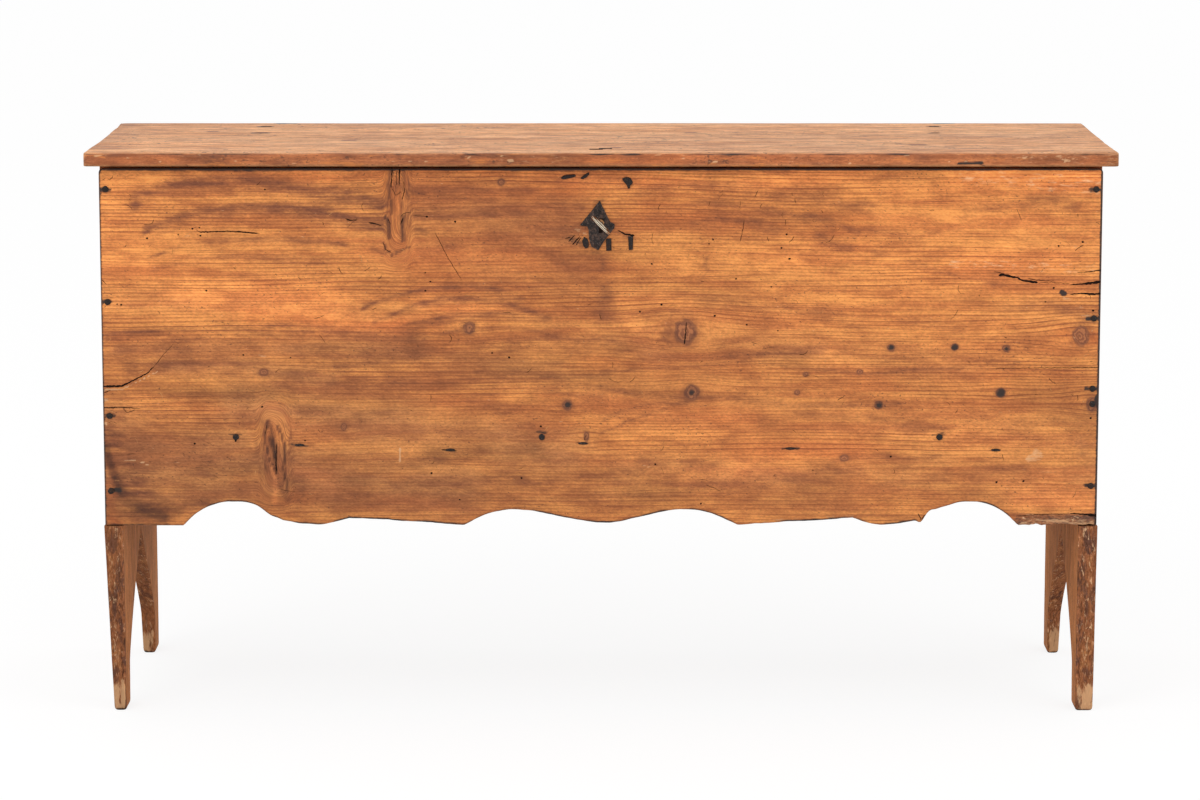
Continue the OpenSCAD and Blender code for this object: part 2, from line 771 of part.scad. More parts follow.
// The box that covers the lock's works inside the chest, open above for the staple
module lock_cap() {
    h = cap_bottom + cap_above;
    color("darkslategray")
        difference() {
            union() {
                translate([-cap_half, plate_in, key_z - cap_bottom])
                    cube([2 * cap_half, cap_depth + cap_wall, h]);
                translate([-cap_half - lug_w, plate_in, key_z + lug_z])
                    cube([2 * (cap_half + lug_w), cap_wall, lug_h]);
            }
            translate([-cap_half + cap_wall, plate_in - cut, key_z - cap_bottom + cap_wall])
                cube([2 * (cap_half - cap_wall), cap_depth + cut, h - 2 * cap_wall]);
            translate([-staple_w / 2 - staple_side, plate_in - cut, key_z + cap_above - cap_wall - cut])
                cube([staple_w + 2 * staple_side, cap_depth + cut, cap_wall + 2 * cut]);
            at_rivets() rivet_hole();
            translate([0, plate_in + cap_depth - cut, key_z])
                rotate([-90, 0, 0]) cylinder(h = cap_wall + 2 * cut, r = post_r + pin_clear);
        }
}

// The pin that the key's hollow shank turns on, riveted through the cap
module drill_pin() {
    back = plate_in + cap_depth + cap_wall;
    front = front_in - 6;
    color("silver")
        translate([0, front, key_z])
            rotate([-90, 0, 0]) {
                cylinder(h = back - front, r = post_r);
                translate([0, 0, back - front]) cylinder(h = 1, r = post_r + 1.2);
            }
}

// Two iron blocks on the lock plate that the bolt slides in: a loop on the right, a trough on the left
module lock_guides() {
    d = bolt_y + bolt_t / 2 + bolt_clear + guide_wall - plate_in;
    low = edge_z - bolt_clear - guide_wall;
    slot = bolt_t + 2 * bolt_clear;
    right_x = bar_right - guide_w;
    left_x = -bit_r - guide_w - bar_end_gap;
    color("dimgray") {
        difference() {
            translate([right_x, plate_in, key_z + low])
                cube([guide_w, d, bar_h + 2 * (bolt_clear + guide_wall)]);
            translate([right_x - cut, bolt_y - slot / 2, key_z + edge_z - bolt_clear])
                cube([guide_w + 2 * cut, slot, bar_h + 2 * bolt_clear]);
        }
        difference() {
            translate([left_x, plate_in, key_z + low]) cube([guide_w, d, bar_h / 2 + guide_wall]);
            translate([left_x - cut, bolt_y - slot / 2, key_z + edge_z - bolt_clear])
                cube([guide_w + 2 * cut, slot, bar_h]);
        }
    }
}

// The bolt drawn back: a bar with the talon that the bit moves, an arm and the finger that locks the staple
module lock_bolt() {
    talon_x = -throw / 2;
    top = edge_z + bar_h;
    color("lightsteelblue")
        translate([0, bolt_y + bolt_t / 2, key_z])
            rotate([90, 0, 0])
                linear_extrude(bolt_t)
                    polygon([
                        [bar_left, edge_z], [talon_x - talon_w / 2, edge_z],
                        [talon_x - talon_w / 2, talon_top], [talon_x + talon_w / 2, talon_top],
                        [talon_x + talon_w / 2, edge_z], [bar_right, edge_z],
                        [bar_right, top], [arm_right, top],
                        [arm_right, finger_z - finger_h / 2], [finger_tip - 1.5, finger_z - finger_h / 2],
                        [finger_tip, finger_z - finger_h / 2 + 1.5], [finger_tip, finger_z + finger_h / 2],
                        [arm_right - arm_w, finger_z + finger_h / 2], [arm_right - arm_w, top],
                        [bar_left, top]
                    ]);
}

// Lock nails come through from the inside, and their tips are turned over on the front board
module lock_nails() {
    l = plate_t + front_t;
    w = lock_nail_w;
    color("dimgray")
        at_lock_nails() {
            translate([-w / 2, -l - clench_t / 2, -w / 2]) cube([w, l + clench_t / 2 + 0.01, w]);
            rotate([-90, 0, 0]) cylinder(h = nail_head_h, r1 = nail_head_r * 0.8, r2 = nail_head_r * 0.4);
            rotate([0, $turn, 0])
                translate([-w / 2, -l - clench_t, -w / 2]) cube([w, clench_t, $tip_l]);
        }
}

// The loop that hangs from the lid and takes the bolt, with its legs turned over on the lid
module lid_staple() {
    low = case_top - staple_drop;
    eye_top = key_z + finger_z + staple_eye_h / 2;
    color("dimgray")
        difference() {
            union() {
                translate([-staple_w / 2, staple_legs[0], low])
                    cube([staple_w, staple_gap + 2 * staple_t, staple_drop]);
                for (i = [0, 1]) {
                    translate([-staple_w / 2, staple_legs[i], case_top - 0.01])
                        cube([staple_w, staple_t, lid_t - clench_t / 2]);
                    staple_tip(i, 0, 0);
                }
            }
            translate([-staple_w / 2 - cut, bolt_y - staple_gap / 2, low + staple_t])
                cube([staple_w + 2 * cut, staple_gap, eye_top - low - staple_t]);
        }
}

// The key as it stands in the lock, with its bit turned up to the left
module key() {
    tip_y = plate_in + cap_depth - tip_gap;
    bow_y = front_y - bow_reach;
    shank_y = bow_y + bow_r - 0.5;
    bit_y = plate_in + bit_gap;
    color("rosybrown")
        translate([0, 0, key_z])
            rotate([0, -key_rest, 0])
                difference() {
                    union() {
                        translate([0, shank_y, 0])
                            rotate([-90, 0, 0]) cylinder(h = tip_y - shank_y, r = shank_r);
                        translate([0, shank_y + 3, 0])
                            rotate([-90, 0, 0]) cylinder(h = collar_l, r = collar_r);
                        translate([0, bow_y, 0])
                            rotate([0, 90, 0])
                                rotate_extrude() translate([bow_r, 0]) circle(bow_iron_r);
                        difference() {
                            translate([-bit_t / 2, bit_y, shank_r - 1])
                                cube([bit_t, bit_w, bit_r - shank_r + 1]);
                            translate([-bit_t, bit_y + bit_w - slit_back, shank_r + slit_up])
                                cube([2 * bit_t, slit_w, bit_r]);
                        }
                    }
                    translate([0, front_in - 8, 0])
                        rotate([-90, 0, 0]) cylinder(h = tip_y - front_in + 8 + cut, r = post_r + pin_clear);
                }
}

front_board();
back_board();
end_board(-1, taper_left_front, taper_left_back);  // end_board_left
end_board(1, taper_right_front, taper_right_back);  // end_board_right
bottom_board();
lid_board();
front_nails();
front_bottom_nails();
clasp_nails();
back_nails();
back_bottom_nails();
translate([-hinge_x, 0, 0]) hinge_strap();  // hinge_strap_left
translate([hinge_x, 0, 0]) hinge_strap();  // hinge_strap_right
translate([-hinge_x, 0, 0]) hinge_leaf();  // hinge_leaf_left
translate([hinge_x, 0, 0]) hinge_leaf();  // hinge_leaf_right
translate([-hinge_x, 0, 0]) hinge_pin();  // hinge_pin_left
translate([hinge_x, 0, 0]) hinge_pin();  // hinge_pin_right
strap_nails();
leaf_nails();
escutcheon();
escutcheon_nails();
lock_plate();
lock_cap();
cap_rivets();
lock_guides();
lock_bolt();
bolt_spring();
drill_pin();
lock_nails();
lid_staple();
key();
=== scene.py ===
import math

import bmesh
import bpy
import numpy as np
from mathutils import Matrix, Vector


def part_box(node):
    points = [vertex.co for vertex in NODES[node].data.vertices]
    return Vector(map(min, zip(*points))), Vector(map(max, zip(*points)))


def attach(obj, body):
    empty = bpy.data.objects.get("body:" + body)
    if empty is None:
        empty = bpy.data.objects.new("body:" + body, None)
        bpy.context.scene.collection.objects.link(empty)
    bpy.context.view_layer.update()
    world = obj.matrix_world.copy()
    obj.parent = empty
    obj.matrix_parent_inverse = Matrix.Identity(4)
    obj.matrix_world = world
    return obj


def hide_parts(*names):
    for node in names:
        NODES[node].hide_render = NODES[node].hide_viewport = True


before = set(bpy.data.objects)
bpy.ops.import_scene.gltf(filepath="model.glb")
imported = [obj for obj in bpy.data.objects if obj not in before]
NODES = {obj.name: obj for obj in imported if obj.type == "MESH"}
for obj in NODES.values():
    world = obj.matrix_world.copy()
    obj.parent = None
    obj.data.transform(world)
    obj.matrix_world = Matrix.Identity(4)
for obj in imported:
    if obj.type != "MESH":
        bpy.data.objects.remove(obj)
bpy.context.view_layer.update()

MM = 0.001
SIDES = (-1, 1)

# ---------------------------------------------------------------- sizes, as in the solids

CASE_W, CASE_D, LEG_H, FRONT_H = 1284 * MM, 386 * MM, 244 * MM, 465 * MM
FRONT_T, BACK_T, END_T = 22 * MM, 20 * MM, 25 * MM
BOARD_INSET, FOOT_PROUD = 1.5 * MM, 2 * MM
LID_LOW, LID_HIGH = (Vector(corner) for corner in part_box("lid_board"))
BACK_BOX, BOTTOM_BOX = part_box("back_board"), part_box("bottom_board")
FRONT_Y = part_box("front_board")[0][1]
BACK_Y, CASE_TOP = BACK_BOX[1][1], BACK_BOX[1][2]
KEY_Z = CASE_TOP - 72 * MM
HALF = CASE_W / 2 - BOARD_INSET  # half the length of the front board
MID_Y = FRONT_Y + CASE_D / 2
END_IN = CASE_W / 2 - END_T

# How the 1200 by 800 photograph lies on the front board's face: mm a pixel along X and Z, the column
# at x = 0, and a height in metres with the row that lies there, which is above the picture.
PX_MM, PY_MM = 1.287, 1.2886
MIDDLE_PX, HIGH_Z, HIGH_PY = 599.5, 1.249, -253


def on_front(px, py):
    """X and Z, in metres, of a point of the photograph on the front board's face."""
    return (px - MIDDLE_PX) * PX_MM * MM, HIGH_Z - (py - HIGH_PY) * PY_MM * MM


def photo_column(x):
    return x / (PX_MM * MM) + MIDDLE_PX


def photo_row(z):
    return (HIGH_Z - z) / (PY_MM * MM) + HIGH_PY


# ---------------------------------------------------------------- noise and soft shapes in numpy


def step(a, b, x):
    """0 at a, 1 at b, smooth between."""
    t = np.clip((x - a) / (b - a), 0, 1)
    return t * t * (3 - 2 * t)


def lattice(x, y, seed):
    """Smooth noise from -1 to 1 with one bump a unit."""
    rows, columns = 67, 71
    table = np.random.default_rng(seed).random((rows, columns))
    xi, yi = np.floor(x).astype(int), np.floor(y).astype(int)
    fx, fy = step(0, 1, x - xi), step(0, 1, y - yi)

    def at(i, j):
        return table[i % rows, j % columns]

    low = at(xi, yi) * (1 - fx) + at(xi + 1, yi) * fx
    high = at(xi, yi + 1) * (1 - fx) + at(xi + 1, yi + 1) * fx
    return (low * (1 - fy) + high * fy) * 2 - 1


def layered(x, y, seed, layers=3):
    """Noise from about -1 to 1 in layers that halve in size and strength."""
    total = sum(lattice(x * 2**k, y * 2**k, seed + k) / 2**k for k in range(layers))
    return total / (2 - 0.5 ** (layers - 1))


def ripple(x, seed):
    """Layered noise along a line."""
    return layered(x, x * 0, seed)


def stroke(x, z, points, widths, soft=0.6):
    """1 along a line through the points and 0 past its width, which runs from widths[0] to widths[1]."""
    best = np.full(np.shape(x), 9.0)
    spans = [math.dist(a, b) for a, b in zip(points, points[1:])]
    whole, done = sum(spans) or 1, 0.0
    for (ax, az), (bx, bz), span in zip(points, points[1:], spans):
        dx, dz = bx - ax, bz - az
        t = np.clip(((x - ax) * dx + (z - az) * dz) / (span * span + 1e-12), 0, 1)
        along = (done + t * span) / whole
        width = widths[0] + (widths[1] - widths[0]) * along
        best = np.minimum(best, np.hypot(x - ax - t * dx, z - az - t * dz) / width)
        done += span
    return 1 - step(1 - soft, 1, best)


def strokes(lines, x, z, soft, widen=1.0):
    """What each stroke of a list gives at x, z. Its rows are points, width at each end, strength."""
    return [strength * stroke(x, z, points, (w0 * widen, w1 * widen), soft)
            for points, w0, w1, strength in lines]


# ---------------------------------------------------------------- meshes


def make_object(name, verts, faces, smooth=True, attributes=()):
    """A mesh object with point attributes, each a name, a kind and its values."""
    mesh = bpy.data.meshes.new(name)
    mesh.from_pydata(verts.tolist() if isinstance(verts, np.ndarray) else verts, [], faces)
    for label, kind, values in attributes:
        layer = mesh.attributes.new(label, kind, "POINT")
        key = "vector" if kind == "FLOAT_VECTOR" else "color"
        layer.data.foreach_set(key, np.ascontiguousarray(values, dtype=np.float32).ravel())
    mesh.polygons.foreach_set("use_smooth", [smooth] * len(mesh.polygons))
    mesh.update()
    if smooth:
        mesh.set_sharp_from_angle(angle=math.radians(40))
    return place(name, mesh)


def place(name, data):
    """An object of this data, in the scene."""
    obj = bpy.data.objects.new(name, data)
    bpy.context.scene.collection.objects.link(obj)
    return obj


LIGHT_SHARE = 14 / 17  # keeps a light value of up to 17 / 14 below the attribute's limit of 1
FAR_FROM_KNOTS = 4.0  # the largest distance from a knot, in half widths, that the marks hold


# dirt_and_shade holds real grime and, on the front board, painted shade lines
def paint(along, across, thick, smoke=0, light=0.5, raw=0, red=0, knot=FAR_FROM_KNOTS, pale=0, dirt_and_shade=0,
          weather=0):
    """The three attributes that the pine materials read, each from one number or one value a point."""
    size = np.shape(along)

    def four(*values):
        return np.stack([np.clip(np.broadcast_to(v, size), 0, 1) for v in values], axis=-1)

    return [("grain", "FLOAT_VECTOR", np.stack([along, across, np.broadcast_to(thick, size)], axis=-1)),
            ("tone", "FLOAT_COLOR", four(smoke, np.asarray(light) * LIGHT_SHARE, raw, red)),
            ("marks", "FLOAT_COLOR", four(np.asarray(knot) / FAR_FROM_KNOTS, pale, dirt_and_shade, weather))]


def coat(obj, material):
    obj.data.materials.clear()
    obj.data.materials.append(material)


def dress(obj, body, slot, material, *nodes):
    """Puts a piece on its body, hides the CAD nodes it stands for, and gives it its material."""
    if nodes:
        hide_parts(*nodes)
    coat(obj, material)
    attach(obj, body)
    return obj


def loop_shape(n_front, n_top, n_back, n_bottom, arc=3):
    """A rounded rectangle as columns (a, b, ra, rb): a point is (a, b) of the box plus (ra, rb) times
    the radius. It runs up the face a = 0, along b = 1, down a = 1 and back along b = 0."""

    def shares(n):
        return [(k + 0.5) / n if n < 3 else k / (n - 1) for k in range(n)]

    turns = [math.radians(90 * k / arc) for k in range(1, arc)]
    arcs = [(math.cos(turn), math.sin(turn)) for turn in turns]
    rows = [(0, t, 0, 1 - 2 * t) for t in shares(n_front)]
    rows += [(0, 1, 1 - c, s - 1) for c, s in arcs]
    rows += [(t, 1, 1 - 2 * t, 0) for t in shares(n_top)]
    rows += [(1, 1, s - 1, c - 1) for c, s in arcs]
    rows += [(1, t, 0, 1 - 2 * t) for t in (1 - share for share in shares(n_back))]
    rows += [(1, 0, c - 1, 1 - s) for c, s in arcs]
    rows += [(t, 0, 1 - 2 * t, 0) for t in (1 - share for share in shares(n_bottom))]
    rows += [(0, 0, 1 - s, 1 - c) for c, s in arcs]
    return np.array(rows, dtype=float)


def sweep_faces(rings, points):
    """Quads between closed loops of points, and a face over each end."""
    i = np.arange(rings - 1)[:, None] * points
    j = np.arange(points)[None, :]
    k = (j + 1) % points
    quads = np.stack([i + j, i + points + j, i + points + k, i + k], axis=-1).reshape(-1, 4).tolist()
    return quads + [list(range(points)), list(range((rings - 1) * points, rings * points))[::-1]]


def board_sections(spacing, low, high, share=1.0, notches=()):
    """Places of the sections along a board, and how far each is drawn in at the rounded ends. A notch,
    given as its middle and half width, gets two sections close together at each side."""
    ends = [(0.0, 1.6 * MM), (0.5 * MM, 0.6 * MM)]  # place from the end, how far drawn in
    round_end, close = 1.6 * MM, 0.02 * MM
    n = max(4, int(round((high - low - 2 * round_end) / spacing)))
    middle = np.linspace(low + round_end, high - round_end, n)
    extra = [mid + side * (half + e) for mid, half in notches for side in SIDES for e in (-close, close)]
    places = [low + e[0] for e in ends] + list(middle) + [high - e[0] for e in ends[::-1]] + extra
    rounding = [e[1] * share for e in ends]
    insets = rounding + [0.0] * n + rounding[::-1] + [0.0] * len(extra)
    order = np.argsort(places, kind="stable")
    return np.array(places)[order], np.array(insets)[order]


def section_points(places, shape, y0, y_span, z0, z_span, radius):
    """X, Y and Z of the points round each section. Its box starts at y0, z0, and the spans are its size."""
    y = y0[:, None] + shape[None, :, 0] * y_span + shape[None, :, 2] * radius
    z = z0[:, None] + shape[None, :, 1] * z_span + shape[None, :, 3] * radius
    return np.repeat(places[:, None], len(shape), axis=1), y, z


def columns(x, y, z):
    """All the points in one array, and their X, Y and Z."""
    verts = np.stack([x, y, z], axis=-1).reshape(-1, 3)
    return verts, verts[:, 0], verts[:, 1], verts[:, 2]


def bend_round(away, u, v):
    """How far the growth lines move aside beside a knot. u and v are in half lengths and half widths."""
    return away * np.exp(-((np.hypot(u / 2.6, v) / 1.9) ** 2))


def add_knots(knots, along, wide, across):
    """Distance to the nearest knot (place along, place across, half length, half width). It also bends
    the growth lines, in across, round the knots."""
    nearest = np.full_like(along, FAR_FROM_KNOTS)
    for at, off, half_long, half_wide in knots:
        u, v = (along - at) / half_long, (wide - off) / half_wide
        nearest = np.minimum(nearest, np.hypot(u, v))
        across += bend_round(wide - off, u, v) * 0.6
    return nearest


# ---------------------------------------------------------------- shader helpers


def srgb(r, g, b):
    """A colour as seen on screen, 0 to 255, in the linear values that the sockets take."""
    return tuple((v / 255 / 12.92) if v <= 10 else ((v / 255 + 0.055) / 1.055) ** 2.4
                 for v in (r, g, b)) + (1.0,)


class Shader:
    """Short names for the nodes that the materials below are made of. It also wires the world."""

    def __init__(self, name, owner=None, output="OutputMaterial"):
        self.owner = owner or bpy.data.materials.new(name)
        self.owner.use_nodes = True
        self.tree = self.owner.node_tree
        self.tree.nodes.clear()
        self.out = self.node(output)

    def put(self, socket, value):
        if isinstance(value, bpy.types.NodeSocket):
            self.tree.links.new(value, socket)
        elif value is not None:
            socket.default_value = value

    def node(self, kind, inputs=(), **settings):
        """A new node. inputs are pairs of a socket's name or number and its value or link."""
        n = self.tree.nodes.new("ShaderNode" + kind)
        for key, value in settings.items():
            setattr(n, key, value)
        for socket, value in inputs:
            self.put(n.inputs[socket], value)
        return n

    def attribute(self, name, output="Vector"):
        return self.node("Attribute", attribute_name=name).outputs[output]

    def split(self, color):
        return self.node("SeparateColor", [(0, color)]).outputs

    def parts(self, vector):
        return self.node("SeparateXYZ", [(0, vector)]).outputs

    def stretch(self, vector, scale, shift=(0, 0, 0)):
        return self.node("Mapping", [("Vector", vector), ("Scale", scale), ("Location", shift)]).outputs[0]

    def noise(self, vector, detail=2.0, rough=0.5, warp=0.0):
        return self.node("TexNoise", [("Vector", vector), ("Scale", 1.0), ("Detail", detail),
                                      ("Roughness", rough), ("Distortion", warp)]).outputs[0]

    def cells(self, vector):
        return self.node("TexVoronoi", [("Vector", vector), ("Scale", 1.0)], feature="F1").outputs["Distance"]

    def math(self, operation, a, b=None, clamp=False):
        return self.node("Math", [(0, a), (1, b)], operation=operation, use_clamp=clamp).outputs[0]

    def mul(self, a, b, clamp=False):
        return self.math("MULTIPLY", a, b, clamp)

    def add(self, a, b):
        return self.math("ADD", a, b)

    def most(self, a, b):
        return self.math("MAXIMUM", a, b)

    def swing(self, value, size):
        """Moves a value that lies round 0.5 to lie round 0, times size."""
        return self.mul(self.math("SUBTRACT", value, 0.5), size)

    def span(self, value, low, high, to_low=0.0, to_high=1.0, smooth=True):
        """to_low where the value is at low, to_high where it is at high."""
        return self.node("MapRange", [("Value", value), ("From Min", low), ("From Max", high),
                                      ("To Min", to_low), ("To Max", to_high)],
                         interpolation_type="SMOOTHSTEP" if smooth else "LINEAR").outputs[0]

    def mix(self, factor, a, b, blend="MIX"):
        sockets = [(0, factor), (6, a), (7, b)]
        return self.node("Mix", sockets, data_type="RGBA", blend_type=blend).outputs[2]

    def shaded(self, color, factor, low, high):
        """The colour times low where the factor is 0, and times high where it is 1."""
        return self.mix(1.0, color, self.mix(factor, low + (1,), high + (1,)), "MULTIPLY")

    def bump(self, height, strength, distance, normal=None):
        return self.node("Bump", [("Strength", strength), ("Distance", distance), ("Height", height),
                                  ("Normal", normal)]).outputs[0]

    def backdrop_ray(self):
        """1 for rays that should meet the white background: camera, glossy and transmission rays."""
        rays = self.node("LightPath").outputs
        return self.most(self.most(rays["Is Camera Ray"], rays["Is Glossy Ray"]), rays["Is Transmission Ray"])

    def end(self, shader):
        self.put(self.out.inputs["Surface"], shader.outputs[0])
        return self.owner

    def finish(self, color, rough, normal=None, metallic=0.0, level=0.5):
        return self.end(self.node("BsdfPrincipled", [
            ("Base Color", color), ("Roughness", rough), ("Metallic", metallic),
            ("Specular IOR Level", level), ("Normal", normal)]))


# ---------------------------------------------------------------- materials

TINTS = {name: srgb(*rgb) for name, rgb in {
    "red wood": (194, 95, 41), "freckle": (74, 40, 26), "knot": (118, 66, 42), "knot pale": (172, 106, 66),
    "knot rim": (92, 50, 34), "bare": (228, 178, 132), "soil and shade": (48, 32, 26),
    "rot dark": (92, 62, 52), "rot brown": (142, 88, 58), "rot straw": (180, 122, 78),
    "rot chalk": (222, 180, 138), "rot hollow": (60, 40, 34),
    "comb dark": (142, 88, 58), "comb dark red": (136, 70, 34), "comb pale": (246, 192, 144),
    "comb pale red": (232, 140, 68), "tick": (92, 56, 40),
    "iron pit": (24, 19, 18), "stem": (150, 112, 74), "stem pale": (206, 162, 112), "key brown": (52, 40, 34),
    "key tan": (120, 94, 70), "key bright": (244, 230, 204)}.items()}


def pine(name, light, mid, line, smoke, raw, rough, line_count, seed, dashes=0.0, level=0.38):
    """Old pine. It reads three attributes of the mesh. grain: place along and across the growth lines and
    through the thickness, in metres. tone: smoke, lightness, raw wood, redness. marks: distance from the
    nearest knot, pale wear, grime and painted shade, weathering. dashes is the strength of the lid's short
    marks."""
    s = Shader(name)
    light, mid, line, smoke, raw = (srgb(*rgb) for rgb in (light, mid, line, smoke, raw))
    grain = s.attribute("grain")
    smoke_at, light_at, raw_at = s.split(s.attribute("tone", "Color"))[:3]
    near_at, pale_at, dirt_and_shade_at = s.split(s.attribute("marks", "Color"))[:3]
    red_at, weather_at = s.attribute("tone", "Alpha"), s.attribute("marks", "Alpha")
    knot_at = s.mul(near_at, FAR_FROM_KNOTS)

    def figure(scale, a, b, detail, rough, warp=0.0):
        """Noise stretched along the grain. a and b tell one figure from the next."""
        return s.noise(s.stretch(grain, scale, (seed, a, b)), detail, rough, warp)

    patch = figure((5.0, 34, 16), 3, 1, 4, 0.6)
    drift = figure((1.1, 24, 9), 1, 7, 2, 0.5)
    band = figure((3.5, 95, 30), 4, 6, 3, 0.55)
    streak = figure((3.2, 260, 70), 2, 5, 4, 0.65)
    fine = figure((7, 520, 200), 6, 2, 3, 0.6)
    blur = figure((24, 62, 40), 7, 3, 5, 0.66)
    across = s.parts(grain)[1]

    def growth(count, wander, power, soft):
        ring = s.math("FRACT", s.add(s.mul(across, count), s.mul(drift, wander)))
        return s.mul(s.math("POWER", ring, power), s.span(ring, 1.0, soft))

    # growth lines on the plain wood, then smoke and soft changes of lightness
    where = s.span(figure((2.0, 19, 10), 9, 4, 3, 0.6), 0.36, 0.6, 0.4, 1.15)
    latewood = s.mul(growth(line_count, 5.0, 3.2, 0.92), where)
    narrow = growth(line_count * 2.35, 12.0, 2.0, 0.85)
    weave = s.add(s.mul(latewood, 1.15), s.mul(narrow, 0.42))
    weave = s.add(weave, s.add(s.span(streak, 0.5, 0.72, 0.0, 0.28), s.span(fine, 0.5, 0.72, 0.0, 0.55)))
    ground = s.add(s.mul(patch, 0.5), s.add(s.mul(band, 0.22), s.mul(blur, 0.28)))
    wood = s.mix(s.span(ground, 0.40, 0.60), light, mid)
    wood = s.mix(s.mul(red_at, 0.75), wood, TINTS["red wood"])
    wood = s.mix(s.mul(raw_at, 0.85), wood, raw)
    clear = s.span(raw_at, 0.0, 0.4, 0.78, 0.38, smooth=False)
    wood = s.mix(s.mul(weave, clear, clamp=True), wood, line)
    veil = s.add(s.span(streak, 0.4, 0.7, 0.0, 0.4), s.span(blur, 0.35, 0.7, -0.25, 0.35))
    veil = s.add(s.span(band, 0.34, 0.66, 0.4, 0.9), veil)
    wood = s.mix(s.mul(smoke_at, veil, clamp=True), wood, smoke)
    wood = s.shaded(wood, s.span(blur, 0.3, 0.72), (1.13, 1.13, 1.13), (0.84, 0.82, 0.82))
    mottle = figure((240, 480, 480), 3, 3, 3, 0.7)
    wood = s.shaded(wood, s.span(mottle, 0.32, 0.68, smooth=False), (0.80, 0.78, 0.77), (1.20, 1.21, 1.22))

    # dark freckles, more of them in some places
    many = s.span(figure((7, 14, 9), 2, 9, 2, 0.5), 0.4, 0.66, 0.0, 0.075)
    speck = s.add(figure((260, 330, 300), 5, 5, 1, 0.5), many)
    dash = s.add(figure((110, 800, 500), 8, 3, 1, 0.5), many)
    freckle = s.most(s.span(speck, 0.74, 0.79), s.span(dash, 0.75, 0.81, 0.0, 0.8))
    wood = s.mix(s.mul(freckle, 0.6), wood, TINTS["freckle"])

    # raw wood is rougher, weathered wood is rotten and chalky
    dull = figure((55, 300, 300), 5, 7, 4, 0.75)
    rough_wood = s.shaded(wood, s.span(dull, 0.36, 0.64), (0.76, 0.74, 0.73), (1.20, 1.21, 1.22))
    wood = s.mix(s.mul(raw_at, 0.9), wood, rough_wood)
    rot = figure((30, 62, 62), 8, 1, 5, 0.72, 0.5)
    chalk = figure((85, 210, 210), 1, 3, 4, 0.7, 0.8)
    fleck = figure((170, 430, 430), 4, 1, 3, 0.65)
    worn = s.mix(s.span(rot, 0.42, 0.50), TINTS["rot dark"], TINTS["rot brown"])
    worn = s.mix(s.span(rot, 0.55, 0.64), worn, TINTS["rot straw"])
    worn = s.mix(s.span(chalk, 0.57, 0.66, 0.0, 0.85), worn, TINTS["rot chalk"])
    worn = s.mix(s.span(chalk, 0.42, 0.34, 0.0, 0.75), worn, TINTS["rot hollow"])
    worn = s.shaded(worn, s.span(fleck, 0.34, 0.66), (0.58, 0.54, 0.52), (1.44, 1.46, 1.48))
    wood = s.mix(s.mul(weather_at, 0.9), wood, worn)

    if dashes:
        comb = figure((22, 70, 120), 2, 6, 5, 0.75)
        tick = figure((95, 62, 150), 6, 6, 3, 0.65)
        dark_comb = s.mix(red_at, TINTS["comb dark"], TINTS["comb dark red"])
        pale_comb = s.mix(red_at, TINTS["comb pale"], TINTS["comb pale red"])
        wood = s.mix(s.span(comb, 0.50, 0.62, 0.0, 0.5 * dashes), wood, dark_comb)
        wood = s.mix(s.span(comb, 0.46, 0.34, 0.0, 0.55 * dashes), wood, pale_comb)
        wood = s.mix(s.span(s.add(tick, many), 0.66, 0.75, 0.0, 0.8 * dashes), wood, TINTS["tick"])

    # knots: a smoky halo, rings and a dark rim
    uneven = figure((90, 160, 120), 4, 8, 3, 0.6)
    near = s.add(knot_at, s.swing(uneven, 0.8))
    halo = s.span(near, 2.0, 1.0, 0.0, 0.45)
    wood = s.mix(s.mul(halo, s.span(streak, 0.3, 0.7, 0.5, 1.1)), wood, smoke)
    rings = s.math("SINE", s.add(s.mul(near, 15.0), s.mul(uneven, 12.0)))
    knot = s.mix(s.span(rings, -1, 1, 0.1, 0.9), TINTS["knot"], TINTS["knot pale"])
    rim = s.mul(s.span(near, 0.62, 0.9), s.span(near, 1.25, 1.0))
    wood = s.mix(s.span(near, 1.2, 0.85, 0.0, 0.9), wood, knot)
    wood = s.mix(s.mul(rim, s.span(streak, 0.35, 0.65, 0.25, 0.75)), wood, TINTS["knot rim"])

    # pale wear, small chips, grime and painted shade, and the lightness of each place
    grit = figure((60, 220, 150), 7, 9, 4, 0.65)
    bare = s.span(s.add(pale_at, s.swing(grit, 1.3)), 0.42, 0.72)
    chip = s.span(figure((120, 420, 300), 3, 8, 2, 0.6), 0.725, 0.79, 0.0, 0.55)
    wood = s.mix(s.most(s.mul(bare, 0.75), chip), wood, TINTS["bare"])
    soiled_and_shaded = s.span(s.add(dirt_and_shade_at, s.swing(grit, 0.9)), 0.25, 0.85)
    wood = s.mix(s.mul(soiled_and_shaded, s.span(dirt_and_shade_at, 0.0, 0.15)), wood, TINTS["soil and shade"])
    wood = s.shaded(wood, light_at, (0.30, 0.28, 0.27), (2.00, 2.03, 2.04))

    dent = figure((30, 55, 40), 2, 2, 3, 0.55)
    height = s.add(s.mul(weave, 0.5), s.mul(fine, 0.4))
    height = s.math("SUBTRACT", height, s.mul(freckle, 0.6))
    height = s.add(height, s.mul(weather_at, s.mul(chalk, 3.0)))
    normal = s.bump(dent, 0.3, 2.4 * MM, s.bump(height, 0.55, 0.55 * MM))
    gloss = s.add(s.swing(patch, 0.25), s.span(streak, 0.3, 0.7, rough, rough + 0.14))
    gloss = s.add(gloss, s.mul(s.most(s.most(raw_at, weather_at), bare), 0.25))
    return s.finish(wood, gloss, normal, level=level)


